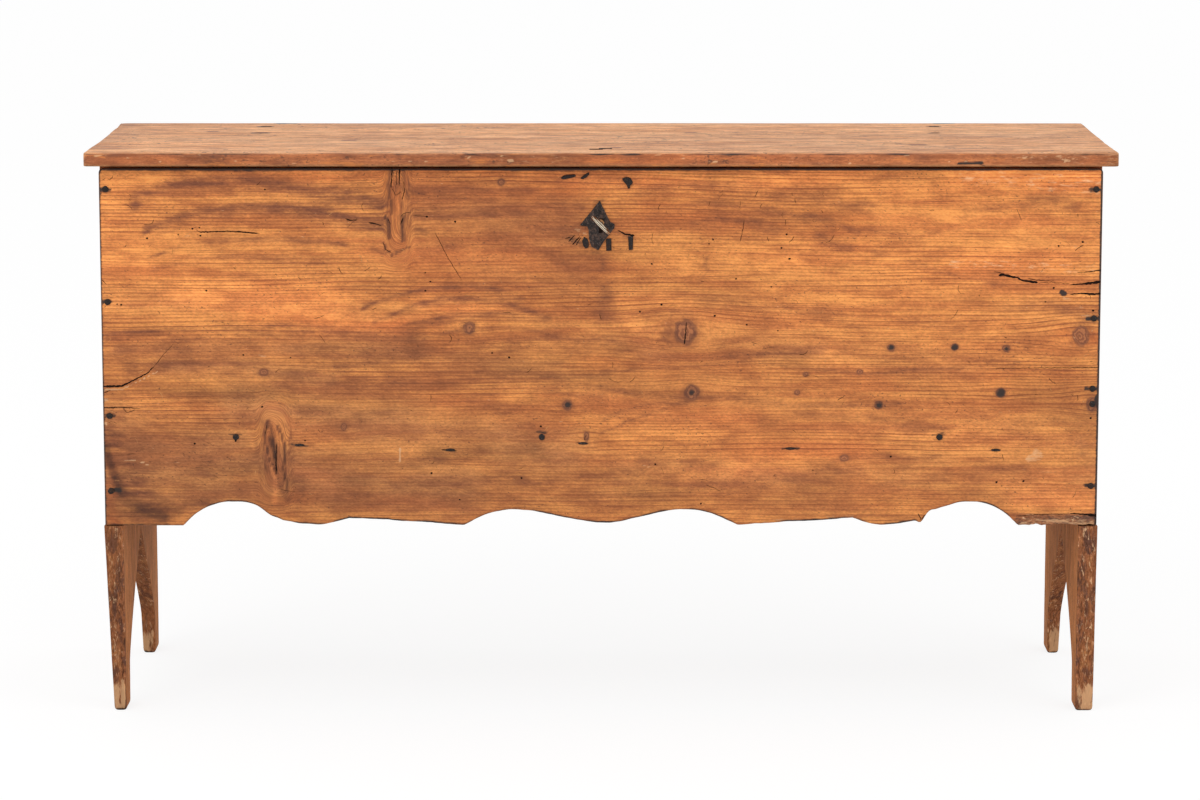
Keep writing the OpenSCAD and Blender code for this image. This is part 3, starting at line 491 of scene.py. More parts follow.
def iron(name, dark, rust, shine, metallic, scale=1.0, rub=(112, 102, 96)):
    """Hand-forged iron: dark scale, brown rust in patches, rubbed places."""
    s = Shader(name)
    spot = s.node("TexCoord").outputs["Object"]
    patch = s.noise(s.stretch(spot, (150 * scale,) * 3), 4, 0.6)
    pit = s.cells(s.stretch(spot, (420 * scale,) * 3))
    fine = s.noise(s.stretch(spot, (520 * scale,) * 3), 3, 0.65)
    color = s.mix(s.span(patch, 0.45, 0.62), srgb(*dark), srgb(*rust))
    color = s.mix(s.span(fine, 0.52, 0.72, 0.0, 0.7), color, srgb(*rub))
    color = s.mix(s.span(pit, 0.32, 0.12, 0.0, 0.6), color, TINTS["iron pit"])
    height = s.add(s.mul(pit, 0.5), s.add(s.mul(patch, 0.8), s.mul(fine, 0.4)))
    rough = s.span(patch, 0.35, 0.7, shine, shine + 0.3)
    return s.finish(color, rough, s.bump(height, 0.7, 0.45 * MM), metallic, 0.3)


def key_with_painted_highlight(name):
    """The key's metal: brown all over, tan on the stem, and a painted highlight along the edge of the bow."""
    s = Shader(name)
    spot = s.node("TexCoord").outputs["Object"]
    x, y, z = s.parts(spot)
    off = s.math("ABSOLUTE", s.mul(s.add(x, s.math("SUBTRACT", z, KEY_Z)), math.sqrt(0.5)))
    fine = s.noise(s.stretch(spot, (600, 600, 600)), 3, 0.6)
    off = s.add(off, s.swing(fine, 0.9 * MM))
    # painted highlight: a bright band on a fixed diagonal of the bow
    painted_highlight = s.mul(s.span(off, 0.25 * MM, 0.55 * MM), s.span(off, 1.3 * MM, 0.95 * MM))
    old = s.mix(s.span(fine, 0.4, 0.65), TINTS["key brown"], TINTS["key tan"])
    stem = s.mix(s.span(fine, 0.35, 0.6), TINTS["stem"], TINTS["stem pale"])
    old = s.mix(s.span(y, FRONT_Y - 29 * MM, FRONT_Y - 26 * MM), old, stem)
    color = s.mix(painted_highlight, old, TINTS["key bright"])
    return s.finish(color, s.span(fine, 0.3, 0.7, 0.28, 0.5), s.bump(fine, 0.4, 0.2 * MM), 0.6)


def gritty(name, color, deep):
    """Two close colours in fine grit, for the painted shade in cracks, wormholes and the keyhole, and for
    scratches.
    """
    s = Shader(name)
    spot = s.node("TexCoord").outputs["Object"]
    grit = s.noise(s.stretch(spot, (300, 300, 700)), 3, 0.6)
    return s.finish(s.mix(grit, srgb(*color), srgb(*deep)), 0.85, s.bump(grit, 0.4, 0.3 * MM), level=0.1)


# name, then the colours light, mid, growth lines, smoke and raw wood, then roughness, lines a metre, seed
PINE_FRONT = pine("pine_front", (240, 158, 82), (205, 122, 63), (146, 76, 38), (128, 72, 44), (148, 104, 76),
                  0.42, 200, 0.0)
# The lid's pine is lighter than the front's, partly as painted sheen of its top.
PINE_LID = pine("pine_lid", (250, 186, 124), (222, 154, 98), (156, 92, 57), (128, 76, 52), (178, 128, 86),
                0.5, 105, 11.0, dashes=0.95)
PINE_ENDS = pine("pine_ends", (196, 126, 74), (166, 100, 58), (116, 68, 42), (98, 62, 46), (184, 124, 68),
                 0.55, 170, 23.0, level=0.12)
PINE_BACK = pine("pine_back", (170, 112, 68), (146, 92, 54), (108, 66, 42), (90, 60, 45), (160, 112, 74),
                 0.62, 130, 37.0)
PINE_BOTTOM = pine("pine_bottom", (178, 128, 84), (156, 108, 68), (120, 78, 50), (98, 68, 50), (168, 122, 82),
                   0.68, 120, 53.0)
FORGED = iron("forged_iron", (30, 23, 21), (54, 37, 29), 0.5, 0.1, rub=(92, 80, 74))
PLATE_IRON = iron("plate_iron", (34, 26, 24), (82, 62, 53), 0.40, 0.15, 1.1, (128, 112, 104))
LOCK_IRON = iron("lock_iron", (74, 68, 62), (92, 66, 48), 0.4, 0.7)
WORKED = iron("worked_iron", (116, 108, 98), (96, 76, 58), 0.32, 0.85)
KEY_METAL = key_with_painted_highlight("key_metal")
# painted shade for cracks, wormholes and the keyhole
CRACK = gritty("crack_and_hole_shade", (40, 24, 17), (22, 14, 11))
SCRATCH = gritty("scratched_wood", (232, 176, 116), (196, 132, 80))

# ---------------------------------------------------------------- the front board, in photograph pixels

# Strokes are points, width at each end, strength. They follow features seen in the photograph. The
# broad ones (SMOKE, GLOW, RED, GREY) were then adjusted by comparing the average colours of patches.

LEFT_PX, RIGHT_PX, TOP_PY, LOW_PY = 102, 1096, 172, 504  # the face between its ends, above the scallop

KNOTS = [  # x, y, half width, half height, how dark its heart is
    (468.5, 326, 6, 5.5, 0.4), (683.8, 330.4, 10, 11.8, 0.1), (690.7, 391.2, 7, 7, 0.62),
    (566.3, 404, 5, 5, 0.8), (263, 371, 5, 3.5, 0.2), (889, 346, 3.8, 3.8, 0.9),
    (952.5, 345.5, 3.8, 3.4, 1.0), (1004, 347, 3.8, 3.4, 0.8), (1078, 334, 8, 9.5, 0.1),
    (998.7, 391.4, 4.6, 4.6, 1.0), (877.5, 403.7, 4.2, 4, 0.9), (795.7, 391.3, 3, 2.8, 0.4),
    (843.4, 457.6, 4.5, 3.6, 0.1), (500.8, 180.7, 3.4, 3.4, 0.1), (804, 373, 3, 2.4, 0.2),
    (858, 370.6, 3, 2.6, 0.2), (342.5, 426, 2.8, 4, 0.2), (585, 436, 2.4, 5, 0.3),
    (1090.3, 402.5, 5.5, 7.5, 0.62),
]
ARCS = [  # clear dark bands: points, width at each end, strength
    ([(134, 204), (150, 192), (172, 182), (210, 178), (260, 178), (330, 190), (384, 202)], 5, 8, 0.85),
    ([(160, 196), (210, 190), (270, 190), (330, 202)], 3, 4, 0.45),
    ([(148, 232), (160, 222), (196, 211), (249, 204), (300, 206), (345, 216), (386, 226)], 3.5, 8, 0.85),
    ([(150, 240), (180, 226), (230, 220), (300, 224)], 2, 3, 0.35),
    ([(150, 256), (186, 244), (230, 239), (290, 238), (345, 244)], 2, 3, 0.7),
    ([(152, 268), (196, 258), (250, 254), (330, 258)], 2, 2.5, 0.5),
    ([(104, 334), (150, 328), (220, 325), (290, 325.5), (310, 330)], 3, 4, 0.85),
    ([(120, 345), (200, 338), (260, 344)], 3, 5, 0.5),
    ([(362, 308), (380, 298), (406, 290), (440, 284), (480, 285), (520, 298)], 2, 3, 0.75),
    ([(372, 322), (406, 306), (440, 298), (473, 296), (510, 300), (545, 318)], 2, 3.5, 0.8),
    ([(380, 334), (412, 322), (450, 314), (490, 312)], 2, 2.5, 0.6),
    ([(400, 344), (450, 330), (520, 326), (560, 334)], 2.5, 3, 0.55),
    ([(158, 366), (186, 360), (212, 364), (232, 372)], 5, 5, 0.7),
    ([(106, 352), (140, 346), (190, 350)], 3, 3, 0.4),
    ([(300, 366), (380, 358), (470, 356), (560, 362)], 3, 3, 0.45),
    ([(430, 376), (500, 366), (560, 372), (600, 384)], 2, 3, 0.5),
    ([(470, 396), (540, 390), (600, 394)], 2, 2, 0.5), ([(440, 352), (520, 342), (620, 344)], 3, 4, 0.4),
    ([(691, 222), (720, 216), (750, 219), (775, 228)], 4, 5, 0.55),
    ([(652, 208), (700, 202), (770, 208), (830, 220), (856, 230)], 3, 4, 0.6),
    ([(640, 192), (700, 186), (780, 192), (850, 206)], 3, 4, 0.45),
    ([(815, 234), (828, 241), (850, 238)], 5, 4, 0.6),
    ([(896, 255), (930, 268), (965, 278), (992, 284)], 1.5, 1.5, 0.6),
    ([(1028, 198), (1064, 196), (1070, 206)], 6, 6, 0.5),
    ([(960, 212), (1010, 202), (1030, 204)], 3, 4, 0.4), ([(860, 226), (900, 232), (960, 228)], 3, 3, 0.4),
    ([(600, 370), (680, 364), (760, 361), (860, 371), (960, 366)], 1.5, 1.5, 0.7),
    ([(600, 388), (650, 396), (690, 398)], 1.5, 2, 0.7),
    ([(600, 432), (640, 416), (672, 404), (700, 398)], 1, 1.5, 0.7),
    ([(700, 398), (800, 405), (900, 402)], 1.5, 1.5, 0.5),
    ([(700, 498), (760, 488), (806, 474), (842, 460)], 2, 1.5, 0.5),
    ([(852, 458), (900, 458), (940, 456)], 2, 2, 0.5), ([(668, 322), (660, 334), (668, 344)], 4, 3, 0.6),
    ([(1040, 300), (1070, 312), (1090, 316)], 4, 5, 0.5), ([(1020, 296), (1050, 300)], 3, 3, 0.4),
    ([(600, 250), (598, 276), (601, 300), (600, 318)], 2.5, 3.5, 0.6),
    ([(568, 236), (578, 250), (600, 256)], 8, 7, 0.45), ([(704, 256), (700, 282)], 2, 3, 0.45),
    ([(664, 318), (672, 310), (690, 312)], 2, 2, 0.5), ([(262, 420), (256, 446), (262, 474)], 2.5, 3, 0.5),
    ([(284, 424), (292, 450), (286, 476)], 2.5, 3, 0.55), ([(300, 470), (304, 486), (298, 500)], 3, 2, 0.4),
    ([(108, 440), (116, 462), (122, 486), (130, 506)], 6, 10, 0.8),
    ([(150, 500), (170, 496), (190, 500)], 6, 6, 0.5),
]
SMOKE = [  # broad dark bands
    ([(140, 196), (178, 182), (250, 180), (329, 193), (372, 199)], 9, 10, 0.8),
    ([(150, 228), (186, 214), (249, 206), (330, 214), (382, 224)], 6, 11, 0.7),
    ([(157, 254), (186, 244), (273, 237), (340, 243)], 3, 4, 0.5),
    ([(150, 266), (230, 256), (330, 262)], 3, 5, 0.35),
    ([(108, 336), (200, 326), (330, 328), (420, 338)], 7, 10, 0.6),
    ([(366, 304), (406, 290), (440, 284), (473, 284), (520, 296)], 3, 5, 0.6),
    ([(372, 322), (406, 306), (473, 296), (520, 303), (545, 318)], 3, 5, 0.65),
    ([(388, 336), (430, 322), (500, 312), (560, 326)], 3, 4, 0.45),
    ([(300, 352), (420, 352), (520, 344), (600, 340), (660, 350)], 11, 12, 0.5),
    ([(240, 380), (330, 386), (420, 380), (520, 372), (600, 380)], 12, 12, 0.5),
    ([(130, 366), (200, 360), (280, 372), (350, 366)], 9, 10, 0.5),
    ([(120, 420), (200, 430), (240, 420)], 24, 12, 0.45),
    ([(404, 180), (450, 190), (520, 196), (580, 206)], 12, 14, 0.55),
    ([(410, 216), (500, 212), (575, 224)], 12, 10, 0.55),
    ([(420, 246), (500, 240), (580, 256)], 8, 12, 0.4), ([(556, 262), (600, 280), (606, 318)], 16, 16, 0.5),
    ([(480, 275), (560, 285)], 8, 10, 0.3), ([(640, 188), (720, 184), (800, 194), (870, 206)], 6, 10, 0.4),
    ([(650, 214), (700, 206), (770, 214), (830, 224)], 5, 7, 0.45),
    ([(691, 226), (730, 220), (774, 230)], 5, 5, 0.45), ([(820, 236), (845, 246)], 9, 7, 0.42),
    ([(960, 210), (1010, 200)], 6, 5, 0.3), ([(1027, 197), (1067, 207)], 9, 7, 0.45),
    ([(1000, 306), (1060, 302)], 6, 5, 0.35), ([(880, 240), (930, 238)], 6, 5, 0.3),
    ([(106, 436), (126, 462), (138, 486), (140, 512)], 24, 22, 0.95),
    ([(112, 512), (180, 506), (240, 500)], 12, 12, 0.6), ([(598, 250), (598, 305)], 5, 8, 0.35),
    ([(600, 496), (660, 486), (760, 478), (860, 470)], 16, 8, 0.5), ([(640, 462), (720, 468)], 8, 8, 0.35),
    ([(330, 500), (430, 488), (560, 474), (640, 478)], 14, 14, 0.4),
    ([(870, 250), (900, 258), (956, 276), (1000, 282)], 4, 4, 0.4), ([(842, 457), (890, 456)], 3, 5, 0.45),
    ([(600, 418), (640, 404), (690, 400)], 2, 2, 0.7),
    ([(600, 372), (660, 366), (760, 362), (860, 372), (960, 366)], 2, 2, 0.6),
    ([(600, 388), (690, 396), (800, 404), (900, 402)], 2, 3, 0.45),
    ([(760, 420), (840, 414), (940, 428)], 8, 8, 0.3),
    ([(650, 352), (700, 362), (780, 352), (820, 346)], 9, 8, 0.5),
    ([(700, 300), (780, 306), (860, 322)], 8, 8, 0.3), ([(200, 470), (262, 462), (300, 480)], 10, 12, 0.45),
    ([(380, 470), (440, 458)], 10, 8, 0.4), ([(470, 400), (530, 420)], 10, 8, 0.35),
    ([(290, 404), (340, 420), (400, 420)], 10, 10, 0.35), ([(560, 180), (640, 176)], 4, 4, 0.25),
    ([(950, 360), (1010, 364)], 8, 8, 0.4), ([(900, 470), (960, 476), (1020, 470)], 8, 8, 0.3),
    ([(900, 318), (960, 330)], 7, 7, 0.25), ([(668, 322), (660, 338)], 6, 5, 0.6),
]
FLAMES = [  # x, y, half width, half height of the places where the grain stands upright
    (273, 451, 13, 44), (398, 206, 11, 46),
]
SHADE = [  # dark bands with clear edges
    ([(267.5, 420), (270.5, 432), (272.5, 444), (273.5, 458), (274, 471)], 2.5, 2.5, 0.7),
    ([(270, 438), (272.8, 448), (273.4, 458)], 6, 4, 1.0),
    ([(266.8, 418.8), (264.2, 430.8), (264.2, 442.8), (266.8, 456.5), (272, 468.5),
     (274.2, 474)], 1.6, 1.3, 1.0),
    ([(275.4, 424), (279.7, 432.5), (282.2, 442.8), (283, 454.8), (281.4, 468.5),
     (283, 479)], 1.5, 1.8, 1.0),
    ([(282, 470), (284, 480), (286, 494)], 2.6, 1.6, 0.8),
    ([(262, 442), (260, 454), (264, 470)], 1.5, 1.5, 0.6), ([(278, 486), (286, 500)], 4, 5, 0.4),
    ([(391, 168), (389, 184), (390, 196)], 3.0, 2.0, 0.9), ([(397.5, 168), (397.5, 186)], 2.2, 1.6, 0.7),
    ([(404.5, 168), (405, 186), (408, 196)], 2.4, 2.4, 0.8), ([(392.5, 198), (392.5, 212)], 1.8, 1.8, 0.9),
    ([(402.5, 200), (401.5, 214)], 1.5, 1.5, 0.7),
    ([(385.5, 214), (388.5, 222), (389.5, 236)], 2.2, 3.0, 1.0),
    ([(403.8, 214), (402.4, 224), (403, 238)], 2.8, 3.2, 1.0), ([(410, 190), (424, 192)], 5, 3, 0.6),
    ([(384, 240), (386, 248), (392, 251.5), (400, 249), (410, 245)], 1.3, 1.2, 0.9),
    ([(392, 254), (404, 248)], 1, 1, 0.8), ([(372, 247), (384, 252)], 3, 3, 0.5),
    ([(416, 226), (426, 230)], 5, 4, 0.5), ([(1027, 202), (1040, 199), (1066, 205)], 4, 6, 0.45),
    ([(104, 446), (110, 470), (120, 494)], 6, 9, 0.9), ([(120, 494), (140, 510), (160, 518)], 13, 10, 0.75),
    ([(150, 498), (178, 512)], 10, 7, 0.5),
]
SHINE = [  # clear light places, and clear dark ones with a minus sign
    ([(265.4, 451), (269.5, 466), (273.2, 478), (273, 502)], 1.6, 5.0, 0.8),
    ([(280.4, 455), (277, 472)], 1.0, 1.0, 0.7), ([(271, 421), (273, 428)], 1.4, 1.2, 0.5),
    ([(395, 168), (394.6, 184)], 0.9, 0.9, 0.5), ([(401.8, 168), (401.6, 184)], 0.9, 0.9, 0.5),
    ([(397.6, 196), (397.8, 212)], 2.0, 1.6, 0.8), ([(396, 216), (396.5, 240)], 2.8, 2.2, 0.7),
    ([(378, 218), (384, 214)], 2.5, 2, 0.5), ([(409, 215), (420, 218)], 2, 2, 0.4),
    ([(270.5, 440), (273, 456)], 3.0, 2.0, -0.5), ([(403.5, 218), (403, 226)], 1.6, 1.6, -0.5),
    ([(387, 218), (389, 224)], 1.4, 1.4, -0.5), ([(391.4, 168), (391, 186)], 1.0, 0.8, -0.6),
    ([(965, 172), (1092, 173)], 9, 10, 0.75), ([(1010, 504), (1090, 505)], 8, 8, 0.35),
]
GLOW = [  # lighter places, and darker ones with a minus sign
    ([(110, 215), (200, 292), (330, 300)], 46, 36, 0.55), ([(250, 300), (390, 320)], 26, 18, 0.4),
    ([(110, 330), (106, 250)], 26, 30, 0.3), ([(800, 300), (900, 300), (1060, 310)], 60, 50, 0.5),
    ([(880, 220), (1085, 235)], 60, 60, 0.45), ([(110, 178), (330, 171), (560, 170)], 6, 6, 0.4),
    ([(720, 178), (860, 172)], 9, 9, 0.5), ([(665, 262), (790, 256)], 16, 16, 0.4),
    ([(640, 330), (720, 318)], 10, 14, 0.35), ([(620, 420), (740, 425)], 22, 20, 0.4),
    ([(730, 470), (800, 450)], 26, 20, 0.4), ([(960, 400), (1080, 420)], 50, 40, 0.3),
    ([(540, 395), (620, 393)], 8, 8, 0.5), ([(500, 386), (560, 384)], 6, 6, 0.4),
    ([(440, 404), (520, 396)], 5, 6, 0.4), ([(264, 404), (278, 418)], 10, 14, 0.6),
    ([(360, 250), (520, 260)], 14, 14, 0.3), ([(420, 305), (500, 308)], 4, 5, 0.5),
    ([(400, 318), (450, 310)], 4, 4, 0.4), ([(130, 398), (180, 394)], 8, 8, 0.35),
    ([(280, 436), (330, 440)], 9, 9, 0.3), ([(860, 440), (1000, 430)], 26, 26, 0.3),
    ([(640, 440), (600, 500)], 12, 12, 0.2), ([(440, 440), (520, 446)], 10, 10, 0.3),
    ([(395, 200), (580, 215)], 46, 50, -0.35), ([(110, 470), (330, 480)], 50, 46, -0.40),
    ([(340, 395), (640, 375)], 50, 46, -0.28), ([(300, 174), (420, 176)], 9, 9, 0.6),
    ([(570, 180), (700, 178)], 9, 9, 0.6), ([(740, 180), (830, 178)], 8, 8, 0.6),
    ([(104, 262), (150, 268)], 12, 12, 0.5), ([(180, 296), (330, 300)], 16, 14, 0.45),
    ([(420, 296), (470, 304)], 12, 12, 0.5), ([(625, 296), (690, 300)], 12, 12, 0.5),
    ([(630, 326), (660, 366)], 14, 14, 0.5), ([(820, 352), (880, 384)], 14, 14, 0.55),
    ([(160, 392), (290, 394)], 10, 8, -0.4), ([(1030, 400), (1090, 424)], 18, 18, -0.5),
    ([(104, 512), (170, 516)], 12, 10, -0.6), ([(430, 452), (540, 448)], 14, 12, -0.4),
    ([(1010, 490), (1090, 500)], 14, 10, 0.6), ([(740, 462), (860, 446)], 12, 12, 0.4),
    ([(950, 174), (1090, 178)], 12, 16, 0.9), ([(960, 262), (1060, 258)], 14, 14, 0.6),
    ([(820, 440), (860, 470)], 18, 18, 0.4), ([(690, 478), (800, 474)], 14, 14, 0.45),
    ([(296, 470), (330, 486)], 12, 12, 0.5), ([(320, 326), (400, 330)], 12, 12, 0.5),
    ([(1040, 478), (1090, 474)], 12, 12, 0.5), ([(110, 390), (260, 392)], 12, 12, -0.45),
    ([(440, 446), (530, 452)], 16, 16, -0.4), ([(1020, 388), (1090, 396)], 18, 22, -0.55),
    ([(940, 390), (1000, 400)], 16, 16, -0.3), ([(110, 300), (240, 296)], 12, 12, 0.3),
    ([(380, 480), (640, 490)], 30, 30, -0.25), ([(560, 300), (600, 250)], 40, 40, -0.2),
    ([(650, 200), (840, 212)], 22, 26, -0.2), ([(650, 492), (830, 494)], 22, 20, -0.28),
    ([(640, 350), (800, 352)], 22, 22, -0.22), ([(130, 350), (420, 345)], 20, 22, -0.2),
    ([(1020, 500), (1092, 502)], 12, 12, 0.7), ([(1000, 170), (1090, 172)], 10, 12, 0.8),
]
RED = [  # redder wood
    ([(109, 463), (109, 526)], 8, 8, 1.0), ([(240, 486), (330, 500), (440, 505)], 14, 12, 0.5),
    ([(400, 190), (560, 200)], 30, 40, 0.8), ([(420, 260), (580, 270)], 40, 46, 0.6),
    ([(650, 205), (840, 215)], 20, 26, 0.5), ([(560, 330), (600, 360)], 20, 24, 0.4),
    ([(630, 345), (740, 360)], 16, 16, 0.5), ([(440, 400), (560, 430)], 20, 20, 0.3),
    ([(960, 380), (1060, 395)], 30, 30, 0.4), ([(1060, 330), (1090, 336)], 10, 10, 0.7),
    ([(120, 340), (300, 350)], 12, 14, 0.4), ([(600, 400), (720, 410), (860, 450)], 36, 40, 0.34),
    ([(250, 320), (400, 325)], 12, 12, 0.4), ([(280, 470), (330, 480)], 16, 16, 0.5),
    ([(740, 476), (860, 480)], 16, 16, 0.4),
]
GREY = [  # dull, dusty wood
    ([(120, 350), (300, 345), (420, 350)], 14, 14, 0.7),
    ([(240, 400), (420, 430), (560, 450)], 30, 36, 0.85),
    ([(110, 476), (260, 470), (460, 490)], 44, 34, 1.0),
    ([(620, 470), (800, 480), (940, 470)], 24, 24, 0.5), ([(640, 350), (820, 350)], 14, 14, 0.5),
    ([(420, 200), (560, 230)], 30, 36, 0.45), ([(108, 430), (160, 460), (240, 440)], 34, 20, 0.9),
    ([(160, 366), (230, 362), (330, 380)], 12, 14, 0.7), ([(640, 462), (700, 470)], 14, 10, 0.5),
    ([(340, 395), (420, 400)], 14, 12, 0.45), ([(550, 440), (630, 470)], 18, 18, 0.35),
    ([(1080, 440), (1092, 470)], 10, 12, 0.5), ([(430, 360), (560, 370)], 12, 12, 0.4),
    ([(150, 500), (260, 490)], 16, 12, 0.5),
    ([(600, 400), (740, 410), (880, 430), (1070, 430)], 40, 46, 0.24),
    ([(560, 330), (760, 340), (960, 370)], 24, 26, 0.3),
    ([(440, 500), (640, 490), (860, 500)], 24, 24, 0.25), ([(980, 480), (1080, 480)], 30, 30, 0.4),
    ([(110, 300), (260, 302), (400, 316)], 14, 16, 0.25), ([(400, 250), (580, 270)], 30, 30, 0.25),
]
PALE = [  # bare, scratched or chalky places
    ([(960, 175), (1092, 184)], 12, 18, 0.42), ([(950, 262), (1092, 268)], 9, 9, 0.42),
    ([(1000, 470), (1088, 476)], 6, 8, 0.3),
    ([(104, 389), (121, 388.6), (136, 381), (148, 375), (158, 370)], 1.5, 1.0, 0.8),
    ([(104, 399), (112, 396)], 3.2, 2, 0.62), ([(103, 423), (106, 423)], 2.4, 2, 0.9),
    ([(102, 336), (104, 350)], 1.4, 1.4, 0.6), ([(1088, 176), (1094, 200)], 2, 2, 0.45),
    ([(1028, 459), (1037, 454)], 6, 10, 0.58), ([(399, 448), (399, 461)], 1.8, 1.4, 0.8),
    ([(104, 461), (117, 461)], 1.1, 0.8, 0.6), ([(122, 460.6), (134, 459.6)], 1.7, 1.3, 0.72),
    ([(136, 461), (146, 465)], 1.3, 1.5, 0.7), ([(150, 462), (182, 463)], 0.9, 0.7, 0.5),
    ([(716, 341), (727, 338)], 1.5, 1.0, 0.6), ([(700, 346), (712, 341)], 1.5, 1.2, 0.45),
    ([(1050, 444), (1064, 452)], 2, 2, 0.4), ([(1022, 522), (1060, 522), (1097, 522.5)], 6, 6, 0.52),
    ([(103, 176), (103, 300)], 2, 2, 0.4), ([(103, 320), (103, 400)], 2, 1.5, 0.45),
    ([(186, 236), (196, 232)], 3, 3, 0.4), ([(575, 227), (585, 232)], 3, 3, 0.6),
    ([(724, 524), (760, 522), (856, 516)], 3, 3, 0.42), ([(330, 517), (460, 523)], 2, 2, 0.3),
    ([(1060, 240), (1090, 262)], 9, 9, 0.34), ([(1062, 296), (1092, 320)], 7, 8, 0.4),
    ([(184, 524), (196, 512), (220, 505)], 2, 2, 0.3), ([(480, 514), (560, 516)], 2, 2, 0.3),
    ([(640, 464), (652, 468)], 2, 2, 0.45), ([(492, 478), (498, 500)], 1.5, 1.2, 0.4),
    ([(256, 352), (266, 356)], 3, 2.5, 0.4), ([(112, 416), (116, 440)], 3, 3, 0.35),
    ([(904, 520), (914, 516)], 2.5, 2, 0.4),
]
DIRT_AND_SHADE = [  # black stains at nails and edges, and painted shade inside the keyhole, under the lid and, with some grime, in the gaps down both ends
    ([(104, 188), (113, 188.5)], 4, 3, 0.9), ([(104, 300), (112, 300)], 3.5, 3, 0.9),
    ([(106, 415), (113, 415)], 3.5, 3, 0.8), ([(110, 490), (118, 491)], 4, 3.5, 0.8),
    ([(1085, 188), (1095, 188)], 4, 3, 0.85), ([(1084, 316.7), (1094, 316.7)], 3.5, 3, 0.85),
    ([(1084, 387.3), (1095, 387.5)], 3.5, 3, 0.9), ([(1094, 396), (1096, 406)], 2.5, 3, 0.9),
    ([(1085, 485), (1094, 486)], 3.5, 3, 0.85), ([(228, 434), (240, 434)], 2.5, 2, 0.6),
    ([(290, 444), (306, 446)], 3, 2.4, 0.7), ([(442, 449.7), (455, 450)], 2.6, 2, 0.7),
    ([(536, 431), (545, 432)], 3, 2.5, 0.7), ([(577, 442.5), (586, 443)], 2.6, 2, 0.6),
    ([(781, 448), (798, 448.4)], 2.4, 2, 0.75), ([(932, 434), (943, 433)], 3, 2.4, 0.7),
    ([(986, 457), (1003, 457.4)], 2, 1.6, 0.6), ([(570, 236), (584, 244)], 7, 5, 0.5),
    ([(562, 176), (588, 174)], 4, 4, 0.35), ([(622, 178), (630, 184)], 5, 4, 0.5),
    # painted shade: the first stroke below fills the keyhole, the long strokes at x 1097.6 and 101.4 darken
    # the gaps at the ends, and the one at y 167 is the shade under the lid
    ([(599.5, 214), (598.5, 232)], 7, 7, 1.6), ([(598, 200), (594, 250)], 12, 10, 0.42),
    ([(614, 230), (630, 236)], 2.5, 3.5, 0.5), ([(1097.6, 168), (1097.6, 526)], 3.0, 3.0, 1.5),
    ([(101.4, 168), (101.4, 526)], 2.6, 2.6, 1.2), ([(100, 167), (1100, 166.6)], 3.7, 3.7, 2.4),
    ([(1058, 290.7), (1061, 291.7)], 4, 4, 1.2), ([(112, 478), (118, 494)], 5, 5, 0.45),
    ([(1010, 520), (1096, 517)], 2.5, 3, 0.4), ([(394, 170), (396, 190)], 2, 2, 0.55),
    ([(402, 170), (403, 190)], 1.5, 1.5, 0.5), ([(273, 446), (274, 470)], 1.6, 2.2, 0.7),
    ([(116, 488), (116.5, 488.5)], 6, 6, 0.5), ([(1088, 230), (1096, 236)], 4, 4, 0.4),
]
